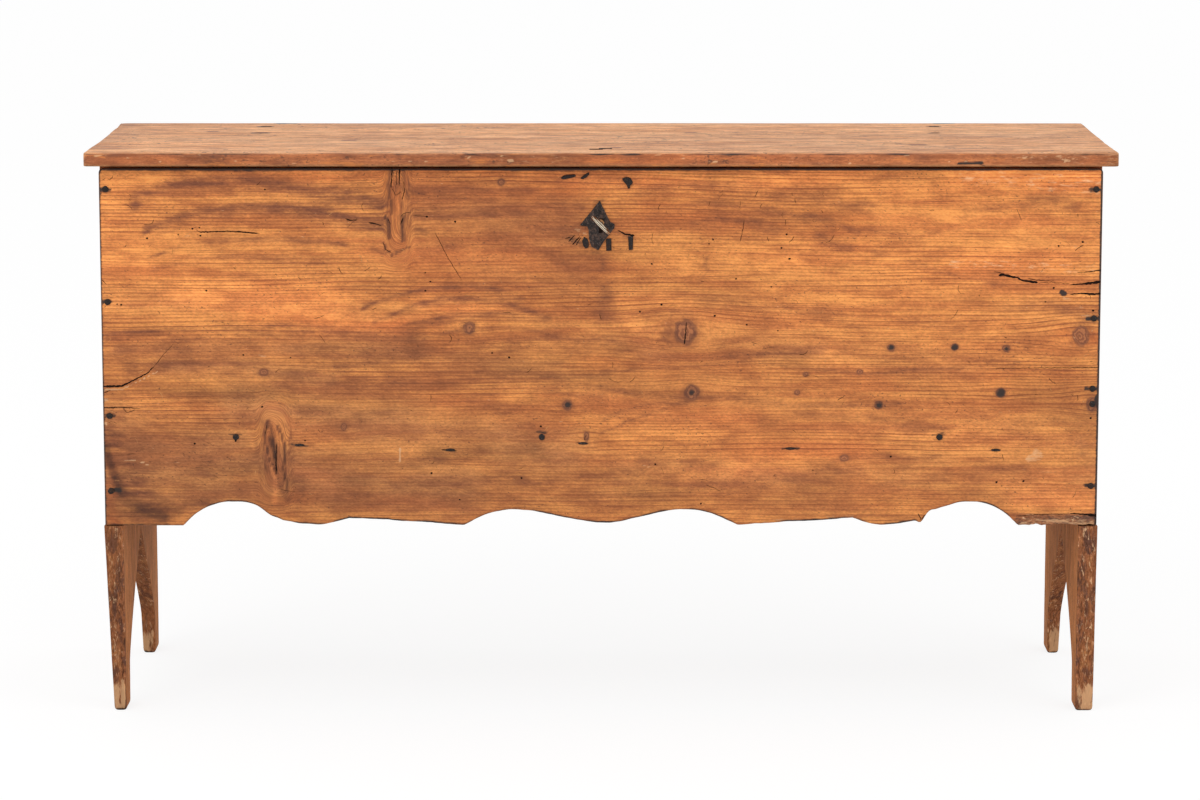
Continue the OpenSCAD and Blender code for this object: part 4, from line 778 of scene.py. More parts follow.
CRACKS = [  # dark strips of painted shade in the cracks: points, width in pixels at the start and the end
    ([(198, 228), (201.6, 230.5), (230, 229.4), (261, 231.7)], 0.9, 1.3),
    ([(102, 385.4), (121, 385.0), (135, 378), (147, 371.8), (155, 363.8)], 2.3, 0.8),
    ([(155, 363.8), (164, 352), (174, 342)], 0.5, 0.3),
    ([(102, 407), (120, 406.4), (139, 407.5)], 1.2, 0.5), ([(122, 408), (126, 412), (134, 409)], 0.6, 0.5),
    ([(103, 392), (110, 389)], 1.0, 0.4),
    ([(995, 273.6), (999, 272.6), (1006, 274.4), (1014, 276)], 2.8, 1.6),
    ([(1013, 275), (1018, 278.5), (1026, 279.6), (1034, 280.8)], 1.6, 2.6),
    ([(1024, 276.8), (1036, 278.4), (1052, 279.3)], 0.8, 0.4), ([(1036, 280.6), (1066, 281.5)], 0.3, 0.6),
    ([(1066, 283), (1080, 282), (1098, 279.8)], 0.8, 3.2),
    ([(1066, 292.6), (1078, 291.4), (1090, 292.5), (1098, 291.5)], 0.9, 2.2),
    ([(1073, 270.5), (1084, 270), (1098, 268)], 0.5, 1.2),
    ([(988, 367), (1040, 366.3), (1098, 366)], 0.3, 0.6),
    ([(1070, 513.7), (1084, 514.8), (1098, 516)], 0.8, 3.0),
    ([(1016, 517), (1030, 515.4), (1046, 514.6), (1068, 514.4)], 0.7, 0.5),
    ([(435, 231), (447, 255), (461, 278)], 0.55, 0.4), ([(742, 218), (740, 230), (738, 240)], 0.5, 0.6),
    ([(684.6, 320), (684.2, 331), (682.6, 343)], 0.7, 1.3),
    ([(275, 443), (274.4, 458), (274.2, 474)], 0.6, 1.3), ([(265.4, 424), (264, 434)], 0.5, 0.7),
    ([(393, 168), (392.4, 177), (391.6, 187)], 1.2, 0.8),
    ([(400.4, 167), (400, 176), (399.6, 185)], 1.5, 0.6), ([(397, 170), (397, 184)], 0.4, 0.5),
    ([(404, 180), (405, 189), (402.4, 198)], 0.5, 0.8), ([(388.6, 217), (390.6, 223)], 0.8, 0.5),
    ([(403.6, 216), (400.6, 223)], 1.3, 0.6), ([(392.6, 187), (396.4, 194), (402, 190)], 0.5, 0.5),
    ([(413, 214), (428, 214.6)], 0.4, 0.4), ([(346, 217), (352, 219), (358, 218)], 1.2, 0.8),
    ([(369, 221), (375, 222), (382, 224)], 1.3, 0.8),
    ([(383.6, 241), (385.6, 247.6), (391.8, 251.4)], 0.7, 0.5), ([(567.5, 240), (573.8, 233)], 1.2, 0.7),
    ([(571.3, 243), (578.8, 234.4)], 1.3, 0.8), ([(574.4, 244), (580.4, 235)], 1.0, 0.7),
    ([(564, 237), (570, 235)], 0.9, 0.6), ([(616, 228.6), (624, 232.4), (633, 234)], 1.0, 2.0),
    ([(585, 434), (583, 440)], 0.8, 0.5), ([(600, 318), (598, 312)], 0.5, 0.4),
    ([(103, 278), (108, 283)], 0.8, 0.4), ([(780, 448.6), (788, 447.6), (799, 448.6)], 0.6, 0.6),
    ([(440, 449), (456, 450.4)], 0.8, 0.5), ([(918, 514), (921, 520), (925, 515)], 0.9, 0.7),
    ([(990, 270), (998, 270.4)], 0.4, 0.6), ([(1012, 207), (1017, 219)], 0.35, 0.35),
]
TIPS = [  # outlines of the lock nails' turned-over tips, then how far each stands out in mm
    ([(560, 176), (562.5, 174), (568, 173.2), (573.8, 172.8), (575, 174.6), (570, 176.6), (562.5, 177.8),
     (560.4, 177.2)], 1.5),
    ([(579.8, 176), (584.4, 172.5), (587.8, 170.8), (588.2, 172.6), (585.6, 175.8), (581.9, 177.6),
     (579.6, 177.2)], 1.5),
    ([(621, 176.6), (625, 175.4), (629, 176.4), (631.4, 180.6), (630.4, 182.6), (628.8, 183.8),
     (628.4, 186.6), (626.4, 187), (625.4, 183.8), (622.9, 180.8), (621, 178.4)], 1.6),
    ([(581, 239), (583, 235), (586.3, 237.2), (587.8, 242), (587.2, 245.8), (584.4, 246.6),
     (582, 243.8)], 1.5),
    ([(604.6, 237), (610, 236.6), (610.2, 248.6), (605, 249)], 1.7),
    ([(626.6, 234.6), (631.6, 234.2), (631.4, 247.8), (627.4, 248.2)], 1.7),
]
HOLES = [  # wormholes, drawn as dark spots of painted shade: x, y
    (711, 238), (707, 242), (784, 232.5), (779, 246), (787, 257), (734, 277), (769, 285), (650, 262),
    (638.5, 310), (660, 303), (713, 314), (745, 323), (491, 351.5), (508, 356), (430, 473), (458, 500),
    (776, 329), (290, 356), (243, 353.5), (261, 406), (193, 443), (890, 456), (1023, 481), (654, 464),
    (266.5, 188), (180, 233), (149, 236.5), (194, 227), (207, 289), (427, 215), (455, 220), (425, 271),
    (430, 280), (425, 289), (303.5, 440), (234, 440.5), (539.5, 425.5), (889.8, 456.2), (1089.6, 308.8),
    (1089.3, 417), (118, 302.5), (122, 303), (201, 226), (202, 234), (600.3, 208.6), (1054, 244),
    (1078, 240), (1042, 300), (1050, 286), (996, 482), (520, 478), (700, 504), (812, 470),
]


def hairs(count, seed, longest=15.0, zone=None, lean=0.0):
    """Short random scratches in photograph pixels: in a zone and leaning one way, or else most of them
    near the ends and below the lid."""
    rng = np.random.default_rng(seed)
    lines = []
    for _ in range(count):
        side = rng.random()
        if side < 0.45:
            x = 104 + 300 * rng.random() ** 1.4
        elif side < 0.8:
            x = 1094 - 260 * rng.random() ** 1.5
        else:
            x = rng.uniform(400, 840)
        y = rng.uniform(174, 500)
        length = rng.uniform(2.5, longest) * rng.random() + 2
        turn = rng.normal(0, 0.45) + (1.4 if rng.random() < 0.16 else 0)
        if zone:
            x, y = rng.uniform(zone[0], zone[2]), rng.uniform(zone[1], zone[3])
            turn = lean + rng.normal(0, 0.3)
        bend = rng.normal(0, 0.7)
        points = [(x, y)]
        for k in range(3):
            a = turn + bend * k / 2
            x, y = points[-1]
            points.append((x + length / 3 * math.cos(a), y + length / 3 * math.sin(a)))
        if all(LEFT_PX < q[0] < RIGHT_PX and TOP_PY < q[1] < LOW_PY for q in points):
            w = rng.uniform(0.2, 0.6)
            lines.append((points, w, w * rng.uniform(0.4, 1)))
    return lines


def front_grain(x, z, px, py):
    """Places along and across the growth lines, the distance to the nearest knot, and the dark hearts."""
    across = z.copy()
    knot, hearts = np.full_like(x, FAR_FROM_KNOTS), np.zeros_like(x)
    for kx, ky, rx, ry, strength in KNOTS:
        u, v = (px - kx) / rx, (py - ky) / ry
        reach = np.hypot(u, v)
        knot = np.minimum(knot, reach)
        hearts = np.maximum(hearts, 1.5 * strength - reach)
        across += bend_round((py - ky) * PY_MM * MM, u, v) * 0.62 * min(1.0, ry / 7)
    across += 5 * MM * layered(x * 2.1, z * 7, 5) + 1.2 * MM * layered(x * 9, z * 20, 9)
    along = x + 0.3 * z
    for fx, fy, rx, ry in FLAMES:
        upright = np.exp(-(((px - fx) / rx) ** 4) - ((py - fy) / ry) ** 4)
        cx, cz = on_front(fx, fy)
        across = across * (1 - upright) + (cz + 0.9 * (x - cx)) * upright
        along = along * (1 - upright) + (cx + z - cz) * upright
    return along, across, knot, hearts


def front_paint(x, z):
    """Grain, tone and marks of the front board at the points x, z of its face."""
    px, py = photo_column(x), photo_row(z)
    along, across, knot, hearts = front_grain(x, z, px, py)
    wx = px + 5 * layered(px / 26, py / 9, 3) + 2.5 * lattice(px / 9, py / 4, 6)
    wy = py + 2.2 * layered(px / 48, py / 9, 4) + 1.2 * lattice(px / 16, py / 3.5, 7)

    def soft(lines, widen):
        """The strongest of broad strokes with wavy edges."""
        return np.maximum.reduce(strokes(lines, wx, wy, 1.0, widen))

    def clear(lines, softness):
        """The strongest of strokes with clear edges."""
        return np.maximum.reduce(strokes(lines, px, py, softness))

    smoke = np.maximum(soft(SMOKE, 1.4), soft(ARCS, 1.7)) * (1 + 0.28 * layered(px / 40, py / 6, 23))
    smoke = smoke + 0.24 * np.clip(layered(px / 90, py / 13, 21, 5), -0.3, 1)
    clean = stroke(px, py, [(950, 168), (1100, 172)], (16, 24), 0.8)  # below the lid at the right
    smoke = smoke * (1 - 0.9 * clean)
    shade = clear(SHADE, 0.7)
    smoke = np.maximum(smoke, shade)
    glow = np.clip(sum(strokes(GLOW, wx, wy, 1.0, 1.5)), -0.8, 1.15)
    light = 0.58 + 0.33 * glow + 0.10 * layered(px / 120, py / 28, 31, 4)
    light = light + 0.3 * sum(strokes(SHINE, px, py, 0.7)) - 0.36 * shade**2
    light = light + 0.05 * step(260, 200, py) - 0.05 * step(430, 500, py) * step(700, 300, px)
    red = np.clip(soft(RED, 1.4) * (1 + 0.5 * layered(px / 60, py / 12, 25)), 0, 1) * 0.8
    grey = np.clip(soft(GREY, 1.4) * (1 + 0.6 * layered(px / 36, py / 10, 27)), 0, 1) * 0.5
    grey = np.maximum(grey, 0.8 * stroke(px, py, [(1074, 517), (1100, 519)], (2, 3.5), 0.5))
    dirt_and_shade = np.maximum(clear(DIRT_AND_SHADE, 0.7), np.clip(hearts, 0, 1))
    dirt_and_shade = np.maximum(dirt_and_shade, step(510, 527, py) * (0.18 + 0.2 * layered(px / 8, py / 5, 41)))
    worn_corner = stroke(px, wy * 0.4 + py * 0.6, [(1020, 522), (1060, 521.5), (1100, 522)], (7, 8), 0.35)
    weather = np.maximum(worn_corner, 0.7 * stroke(wx, wy, [(726, 527), (860, 519)], (2.5, 2.5), 0.7))
    return dict(along=along, across=across, smoke=smoke, light=light, raw=grey, red=red, knot=knot,
                pale=clear(PALE, 0.6), dirt_and_shade=dirt_and_shade, weather=weather)


# ---------------------------------------------------------------- front board

SCALLOP = dict(lobe_half=112, middle_rise=21.3, lobe_rise=4, middle_side=65, slope_l=148, slope_rise=10,
               outer_lobe_half=43, cusp_rise=7.5, end_arch_in=63, end_arch_out=65, end_arch_rise=31.5,
               end_flat=101.5, low=1.3)  # mm, as in the solid


def scallop_points():
    """Half of the scalloped edge, from the middle out, in metres: x and rise."""
    v = SCALLOP
    slope = v["lobe_half"] + v["middle_side"]
    lobe = slope + v["slope_l"]
    cusp = lobe + 2 * v["outer_lobe_half"]
    arch = cusp + v["end_arch_in"]
    end = arch + v["end_arch_out"]

    def run(start, length, rise, n):
        return [(start + length * t, rise(t)) for t in np.linspace(0.05, 1, n)]

    def blend(low, high):
        """Heights from low to high along a share from 0 to 1."""
        return lambda share: low + (high - low) * share

    from_lobe, from_low = blend(v["lobe_rise"], v["middle_rise"]), blend(v["low"], v["middle_rise"])
    to_slope, to_cusp = blend(v["low"], v["slope_rise"]), blend(v["low"], v["cusp_rise"])
    to_arch, quarter = blend(v["cusp_rise"], v["end_arch_rise"]), math.pi / 2
    out = [(0, v["lobe_rise"])]
    out += run(0, v["lobe_half"], lambda t: from_lobe((1 - math.cos(math.pi * t)) / 2), 20)
    out += run(v["lobe_half"], v["middle_side"], lambda t: from_low(math.cos(quarter * t)), 20)
    out += [(lobe, v["slope_rise"])]
    out += run(lobe, v["outer_lobe_half"], lambda t: to_slope(1 - math.sin(quarter * t)), 14)
    out += run(lobe + v["outer_lobe_half"], v["outer_lobe_half"],
               lambda t: to_cusp(1 - math.cos(quarter * t)), 14)
    out += run(cusp, v["end_arch_in"], lambda t: to_arch(1 - (1 - t) ** 2), 18)
    out += run(arch, v["end_arch_out"], lambda t: v["end_arch_rise"] * (1 - t**2.4), 18)
    out = np.array(out) * MM
    out[:, 0] *= (HALF - v["end_flat"] * MM) / (end * MM)
    return np.vstack([out, [[HALF + 1, 0]]])


def front_relief(x, z):
    """How far the worn face lies behind the board's full thickness."""
    dents = np.clip(layered(x * 30, z * 60, 69) - 0.45, 0, 1) * 1.2 * MM
    waves = 0.4 * MM * layered(x * 5, z * 12, 67) + 0.12 * MM * lattice(x * 60, z * 160, 68)
    return 0.4 * MM + waves + dents


def front_edges(places):
    """Heights of the board's scalloped lower edge and of its top."""
    edge = scallop_points()
    px = photo_column(places)
    bottom = LEG_H + np.interp(np.abs(places), edge[:, 0], edge[:, 1])
    bottom += 1.2 * MM * ripple(places * 40, 61) * (np.abs(places) < HALF - 110 * MM) + 0.5 * MM
    bottom += 1.6 * MM * step(1010, 1030, px) * (1 + ripple(places * 160, 63))  # the eroded corner
    # a torn spur and the gap beside it, and the left arch, which runs out flatter
    for column, width, drop in ((921, 4, 5.0), (930, 5, -3.0), (268, 9, 4.8)):
        bottom -= drop * MM * np.exp(-(((px - column) / width) ** 2))
    top = LEG_H + FRONT_H - 0.4 * MM - 0.6 * MM * (1 + ripple(places * 9, 65))
    top -= 4 * MM * np.clip(1 - (HALF - np.abs(places)) / (5 * MM), 0, 1) ** 2
    return bottom, top


def front_board():
    places, insets = board_sections(2.75 * MM, -HALF, HALF)
    bottom, top = front_edges(places)
    shape = loop_shape(160, 5, 30, 5)
    x, y, z = section_points(places, shape, FRONT_Y + insets, (FRONT_T - 2 * insets)[:, None],
                             bottom + insets, (top - bottom - 2 * insets)[:, None], 1.3 * MM)
    y += (shape[None, :, 0] == 0) * front_relief(x, z)
    verts, fx, fy, fz = columns(x, y, z)
    depth = (fy - FRONT_Y) / FRONT_T
    inner = step(0.25, 0.6, depth)
    look = front_paint(fx, fz)
    for key in ("smoke", "red", "pale"):
        look[key] = look[key] * (1 - inner)
    look["raw"] = np.maximum(look["raw"], inner)
    look["light"] = look["light"] - 0.06 * inner
    # painted shade: a dark line along the scalloped lower edge, weaker at the right corner; the face's grime
    # and painted shade are kept mostly off its top and ends
    no_shade_corner = np.repeat(1 - 0.85 * step(1008, 1018, photo_column(places)), len(shape))
    low_edge_shade = step(3.4 * MM, 1.6 * MM, fz - np.repeat(bottom, len(shape))) * (1 - inner) * no_shade_corner
    low_edge_shade = low_edge_shade * (0.66 + 0.4 * ripple(fx * 40, 66)) * (1 - 0.7 * step(0.1, 0.3, depth))
    look["dirt_and_shade"] = np.maximum(look["dirt_and_shade"] * (1 - 0.88 * step(0.03, 0.10, depth)), low_edge_shade)
    return make_object("front_board_worn", verts, sweep_faces(len(places), len(shape)),
                       attributes=paint(thick=fy - FRONT_Y, **look))


def on_face(x, z):
    """A point just in front of the worn face."""
    return float(x), float(FRONT_Y + front_relief(np.array(x), np.array(z)) - 0.14 * MM), float(z)


def ribbons(name, lines, seed=5):
    """Thin strips on the front board's face, for cracks, as painted shade, and for scratches."""
    verts, faces = [], []
    rng = np.random.default_rng(seed)
    for points, w0, w1 in lines:
        path = np.array([on_front(*p) for p in points])
        seg = np.linalg.norm(np.diff(path, axis=0), axis=1)
        marks_at = np.concatenate([[0], np.cumsum(seg)])
        n = max(5, int(marks_at[-1] / (1.8 * MM)))
        at = np.linspace(0, marks_at[-1], n)
        mid = np.stack([np.interp(at, marks_at, path[:, k]) for k in (0, 1)], axis=1)
        mid[1:-1] += rng.normal(0, 0.2 * MM, (n - 2, 2))
        way = np.gradient(mid, axis=0)
        way /= np.linalg.norm(way, axis=1)[:, None] + 1e-9
        side = np.stack([-way[:, 1], way[:, 0]], axis=1)
        t = at / marks_at[-1]
        half = (w0 + (w1 - w0) * t) * PX_MM * MM / 2 * (0.7 + 0.6 * rng.random(n))
        open_end = points[-1][0] > RIGHT_PX  # a crack that runs out at the board's end keeps its width
        half *= np.minimum(t * 10 + 0.2, 1) * (1 if open_end else np.clip((1 - t) * 10 + 0.15, 0, 1))
        base = len(verts)
        for k in range(n):
            for sign in SIDES:
                vx, vz = mid[k] + sign * side[k] * half[k]
                verts.append(on_face(np.clip(vx, -HALF + 0.6 * MM, HALF - 0.6 * MM), vz))
        faces += [[k, k + 2, k + 3, k + 1] for k in range(base, len(verts) - 2, 2)]
    return make_object(name, verts, faces, smooth=False)


def pits(name, spots, corners=9):
    """Wormholes: small round dark spots of painted shade."""
    rng = np.random.default_rng(8)
    verts, faces = [], []
    for spot in spots:
        cx, cz = on_front(*spot)
        y = on_face(cx, cz)[1]
        r = rng.uniform(0.8, 1.45) * MM
        for k in range(corners):
            a = 2 * math.pi * k / corners
            rr = r * rng.uniform(0.8, 1.15)
            verts.append((cx + rr * math.cos(a) * 1.15, y, cz + rr * math.sin(a)))
        faces.append(list(range(len(verts) - corners, len(verts))))
    return make_object(name, verts, faces, smooth=False)


def keyhole_painted_shade():
    """A dark sheet of painted shade inside the keyhole, seen past the key."""
    r, w, low = 4.4 * MM, 2.6 * MM, 15 * MM
    turn = math.asin(w / r)
    points = [(r * math.sin(a), r * math.cos(a)) for a in np.linspace(-math.pi + turn, math.pi - turn, 17)]
    points += [(w, -low), (-w, -low)]
    verts = [(x, FRONT_Y - 0.2 * MM, KEY_Z + z) for x, z in points]
    return make_object("keyhole_painted_shade", verts, [list(range(len(points)))], smooth=False)


# cracks, fine cracks, the keyhole and wormholes are dark pieces of painted shade; the pale scratches are wear
FINE_CRACKS = hairs(110, 31) + hairs(24, 35, 17.0, (648, 182, 856, 236), 1.9)
dress(front_board(), "chest", "case_pine", PINE_FRONT, "front_board")
dress(ribbons("front_cracks", CRACKS + FINE_CRACKS), "chest", "case_pine", CRACK)
dress(ribbons("pale_scratches", hairs(70, 33, 9.0), seed=6), "chest", "case_pine", SCRATCH)
dress(keyhole_painted_shade(), "chest", "case_pine", CRACK)
dress(pits("wormholes", HOLES), "chest", "case_pine", CRACK)

# ---------------------------------------------------------------- lid

HINGE_X = CASE_W / 2 - 192 * MM
NOTCH_HALF = 18.7 * MM
NOTCH_BACK = BACK_Y - 1.5 * MM
NOTCH_TOP = CASE_TOP + 10.4 * MM
STRAP_L = 190 * MM
STRAP_NAILS = [(s * HINGE_X, BACK_Y - share * STRAP_L) for s in SIDES for share in (0.19, 0.43, 0.69, 0.937)]
STRAP_TIPS = [(x, BACK_Y - share * STRAP_L, long) for x, share, long in (  # the tips that still show
    (-HINGE_X - 5 * MM, 0.19, 15 * MM), (-HINGE_X - 4 * MM, 0.69, 19 * MM),
    (HINGE_X + 2 * MM, 0.19, 14 * MM), (HINGE_X - 4 * MM, 0.69, 12 * MM))]
LID_KNOTS = [(-0.33, -0.02, 0.010, 0.007), (0.12, 0.09, 0.008, 0.006), (0.41, -0.08, 0.012, 0.008),
             (-0.52, 0.10, 0.007, 0.006), (0.02, -0.12, 0.007, 0.005)]


def lid_points():
    """The lid's X, Y and Z, a row a section. Its hinge notches are open below and covered above."""
    notches = [(s * HINGE_X, NOTCH_HALF) for s in SIDES]
    places, insets = board_sections(3.0 * MM, LID_LOW.x, LID_HIGH.x, 1.6, notches)
    from_end = LID_HIGH.x - np.abs(places)

    def rounding(corner):
        return corner - np.sqrt(np.maximum(corner**2 - np.maximum(corner - from_end, 0) ** 2, 0))

    y0 = LID_LOW.y + insets + rounding(8 * MM) * 0.9 + 0.8 * MM * (1 + ripple(places * 11, 71))
    y1 = LID_HIGH.y - insets - np.where(places < 0, rounding(13 * MM), rounding(7 * MM))
    y1 = y1 - 0.5 * MM * (1 + ripple(places * 9, 73))
    in_notch = np.minimum(np.abs(places - HINGE_X), np.abs(places + HINGE_X)) < NOTCH_HALF
    y_low = np.where(in_notch, NOTCH_BACK, y1)
    z0 = LID_LOW.z + insets * 0.4
    z1 = LID_HIGH.z - insets * 0.8 - 0.4 * MM

    # The upper front edge is rounded more than the others, and not evenly.
    shape = loop_shape(7, 104, 5, 26, arc=4)
    a, b, ra, _ = shape.T[:, None]
    y_span = np.where(b > 0.6, y1[:, None], y_low[:, None]) - y0[:, None]
    worn, plain = (3.2 * MM + 1.6 * MM * layered(places * 14, places * 0 + 2, 75))[:, None], 1.5 * MM
    radius = np.where((b > 0.5) & (a < 0.5), worn, plain)
    radius = np.where((a == 0) & (ra == 0), plain + (worn - plain) * b, radius)
    x, y, z = section_points(places, shape, y0, y_span, z0, (z1 - z0)[:, None], radius)
    z = np.where(in_notch[:, None] & (a == 1) & (ra == 0) & (np.abs(b - 0.625) < 0.2), NOTCH_TOP, z)

    # wear of the top, the chewed front edge, and ends that aren't quite straight
    top = b == 1
    z -= top * 0.4 * MM * (1 + layered(x * 4, y * 9, 77))
    near_front = step(LID_LOW.y + 12 * MM, LID_LOW.y, y)
    z -= top * near_front * 1.2 * MM * (1 + layered(x * 26, y * 30, 79))
    nick = np.clip(layered(x * 55, y * 60 + z * 60, 81) - 0.35, 0, 1)
    y += near_front * nick * 4 * MM
    near_end = step(20 * MM, 0.0, LID_HIGH.x - np.abs(x))
    x -= np.sign(x) * near_end * 1.2 * MM * (1 + layered(y * 18, z * 0 + np.sign(x), 83))
    bow = np.sin(np.pi * np.clip((y - LID_LOW.y) / (LID_HIGH.y - LID_LOW.y), 0, 1))
    reach = 60 * MM
    x += np.clip(1 - (x - LID_LOW.x) / reach, 0, 1) * 3.6 * MM * bow * (1 + 0.5 * ripple(y * 9, 84))
    x -= np.clip(1 - (LID_HIGH.x - x) / reach, 0, 1) * 1.6 * MM * bow
    return x, y, z


def lid_paint(vx, vy, vz):
    """Grain, tone and marks of the lid at these points."""
    across = vy + 6 * MM * layered(vx * 1.7, vy * 8, 85) + (vz - LID_LOW.z) * 0.8
    knot = add_knots(LID_KNOTS, vx, vy, across)
    below = step(LID_LOW.z + 4 * MM, LID_LOW.z + 1 * MM, vz)
    up = 1 - below
    face = step(LID_LOW.y + 6 * MM, LID_LOW.y + 1 * MM, vy)
    end = step(LID_HIGH.x - 5 * MM, LID_HIGH.x - 1 * MM, np.abs(vx))
    to_edge = np.minimum(np.abs(vy - LID_LOW.y), LID_HIGH.x - np.abs(vx))
    rim = step(8 * MM, 0.0, to_edge) * step(LID_HIGH.z - 8 * MM, LID_HIGH.z - 1 * MM, vz)
    right_corner = step(50 * MM, 0.0, LID_HIGH.x - vx) * step(30 * MM, 0.0, vy - LID_LOW.y)

    smoke = 0.42 * (layered(vx * 4, vy * 26, 87, 4) + 0.1)
    smoke = smoke + face * (0.22 + 0.7 * layered(vx * 22, vz * 110, 89))
    smoke = smoke + 0.35 * step(LID_LOW.x + 90 * MM, LID_LOW.x, vx)
    light = 0.60 + 0.10 * layered(vx * 3, vy * 9, 91) - 0.10 * below + 0.05 * step(0.03, -0.15, vy)
    middle_right = step(-0.04, 0.04, vx) * step(0.34, 0.22, vx)
    light -= face * (0.14 - 0.13 * middle_right - 0.08 * step(0.22, 0.34, vx))

    chips = np.clip(layered(vx * 95, vz * 240 + vy * 200, 92) - 0.36, 0, 1) * face
    pale = 1.8 * chips + rim * (0.2 + 0.6 * layered(vx * 90, vy * 90 + vz * 90, 93))
    pale = pale + 0.5 * right_corner * (0.6 + layered(vx * 80, vy * 80 + vz * 80, 94)) * rim
    blot = np.clip(layered(vx * 34, vz * 70 + vy * 40, 95) - 0.25, 0, 1)
    dirt_and_shade = face * blot * 1.2 + rim * np.clip(layered(vx * 60, vy * 100, 97) - 0.1, 0, 1) * 0.8
    arris = np.exp(-(((LID_HIGH.z - 2.5 * MM - vz) / (1.6 * MM)) ** 2))
    arris = arris * step(LID_LOW.y + 8 * MM, LID_LOW.y + 4 * MM, vy)
    dirt_and_shade = np.maximum(dirt_and_shade, arris * (0.25 + 0.9 * ripple(vx * 24, 98)))
    dirt_and_shade = np.maximum(dirt_and_shade, face * stroke(vx, vz, [(0.455, 0.7155), (0.485, 0.717)], (0.004, 0.003), 0.7))
    for tx, ty, long in STRAP_TIPS:
        stain = stroke(vx, vy, [(tx - long / 2, ty), (tx + long / 2, ty)], (0.009, 0.007), 0.7)
        dirt_and_shade = np.maximum(dirt_and_shade, (1.1 if tx < 0 else 0.75) * stain)
    for side in SIDES:
        hx, hy = side * HINGE_X, LID_HIGH.y - 4 * MM
        stain = stroke(vx, vy, [(hx + 12 * MM, hy), (hx + 30 * MM, hy)], (0.013, 0.007), 0.7)
        dirt_and_shade = np.maximum(dirt_and_shade, 1.2 * stain)
    weather = face * np.clip(0.12 + 0.9 * layered(vx * 20, vz * 90, 96), 0.0, 0.7)
    weather = np.maximum(np.maximum(weather, right_corner * 0.7), 0.6 * end)
    return paint(vx + 0.2 * vy, across, vz - LID_LOW.z, smoke * up, light, below, face, knot, pale * up,
                 dirt_and_shade * up, weather * up)


def lid_board():
    x, y, z = lid_points()
    verts, vx, vy, vz = columns(x, y, z)
    return make_object("lid_board_worn", verts, sweep_faces(*x.shape), attributes=lid_paint(vx, vy, vz))


dress(lid_board(), "lid", "lid_pine", PINE_LID, "lid_board")

# ---------------------------------------------------------------- end boards

FOOT_W, FOOT_IN, STRAIGHT_H, CUT_TOP = 47 * MM, 2 * MM, 54 * MM, 204 * MM
FOOT_BEND = (10 * MM, 32 * MM)
FLOOR_END = [(0.0, 2.6), (0.7, 1.5), (1.8, 0.7), (3.6, 0.2), (6, 0.0)]  # mm: height, how far drawn in
END_KNOTS = [(0.52, 0.05, 0.014, 0.009), (0.36, -0.06, 0.010, 0.007), (0.29, 0.09, 0.012, 0.008),
             (0.63, -0.02, 0.008, 0.006)]  # on the right board, and mirrored on the left one


def foot_edge(z):
    """Width of a foot at height z, up to half the board's depth at the top of the cut."""
    t = np.linspace(0, 1, 60)
    a, c = (FOOT_W, STRAIGHT_H), (CASE_D / 2, CUT_TOP)
    b = (FOOT_W + FOOT_BEND[0], STRAIGHT_H + FOOT_BEND[1])
    bx, bz = ((1 - t) ** 2 * a[k] + 2 * t * (1 - t) * b[k] + t**2 * c[k] for k in (0, 1))
    widths = np.concatenate([[FOOT_W - FOOT_IN], bx, [CASE_D / 2]])
    return np.interp(z, np.concatenate([[0], bz, [9]]), widths)


def end_half(side, half, tapers):
    """Points of the front half (0) or back half (1) of an end board, in loops from the floor up. A loop's a
    runs from the outer face to the inner one, and its b from the free edge to the cut."""
    close = 0.01 * MM
    heights = [h * MM for h, _ in FLOOR_END] + list(np.arange(11 * MM, LEG_H - 2 * MM, 4 * MM))
    heights += [LEG_H - close, LEG_H + close] + list(np.arange(LEG_H + 5 * MM, CASE_TOP - 2 * MM, 5 * MM))
    heights = np.array(heights + [CASE_TOP - 0.4 * MM, CASE_TOP])
    inset = np.interp(heights, [h * MM for h, _ in FLOOR_END], [i * MM for _, i in FLOOR_END])
    inset = inset + 0.5 * MM * step(CASE_TOP - 0.5 * MM, CASE_TOP, heights)
    leg = heights < LEG_H
    narrowing = np.clip(1 - heights / LEG_H, 0, 1)

    wear = 0.9 * MM * (1 + layered(heights * 45, heights * 0 + half + side, 101)) * leg
    outer_y = np.where(leg, -FOOT_PROUD, FRONT_T if half == 0 else BACK_T) + inset + wear
    cut_wear = 0.7 * MM * (1 + layered(heights * 60, heights * 0 + half - side, 103))
    cut_wear = cut_wear * step(CUT_TOP, CUT_TOP - 20 * MM, heights)
    inner_y = np.where(heights < CUT_TOP, foot_edge(heights) - inset - cut_wear, CASE_D / 2)
    x_out = CASE_W / 2 - tapers[half] * narrowing - inset - 0.2 * MM
    x_mid = CASE_W / 2 - sum(tapers) / 2 * narrowing - inset - 0.2 * MM
    x_in = END_IN + inset + 0.05 * MM
    r_free = 1.6 * MM + 1.2 * MM * step(50 * MM, 0.0, heights)
    r_cut = r_free * step(CUT_TOP, CUT_TOP - 12 * MM, heights)

    a, b, ra, rb = loop_shape(46, 10, 46, 10).T[:, None]
    radius = np.where(b > 0.5, r_cut[:, None], r_free[:, None])
    flat_shift = r_free[:, None] * (1 - b) - r_cut[:, None] * b
    x = x_out[:, None] + a * (x_in - x_out)[:, None] - ra * radius
    y = outer_y[:, None] + b * (inner_y - outer_y)[:, None] + np.where(ra == 0, flat_shift, rb * radius)
    toward_mid = step(40 * MM, 0.0, np.abs(y - CASE_D / 2)) * (a < 0.5)
    x = x + toward_mid * (x_mid - x_out)[:, None]
    y = FRONT_Y + y if half == 0 else BACK_Y - y
    return side * x, y, np.repeat(heights[:, None], a.shape[1], axis=1)


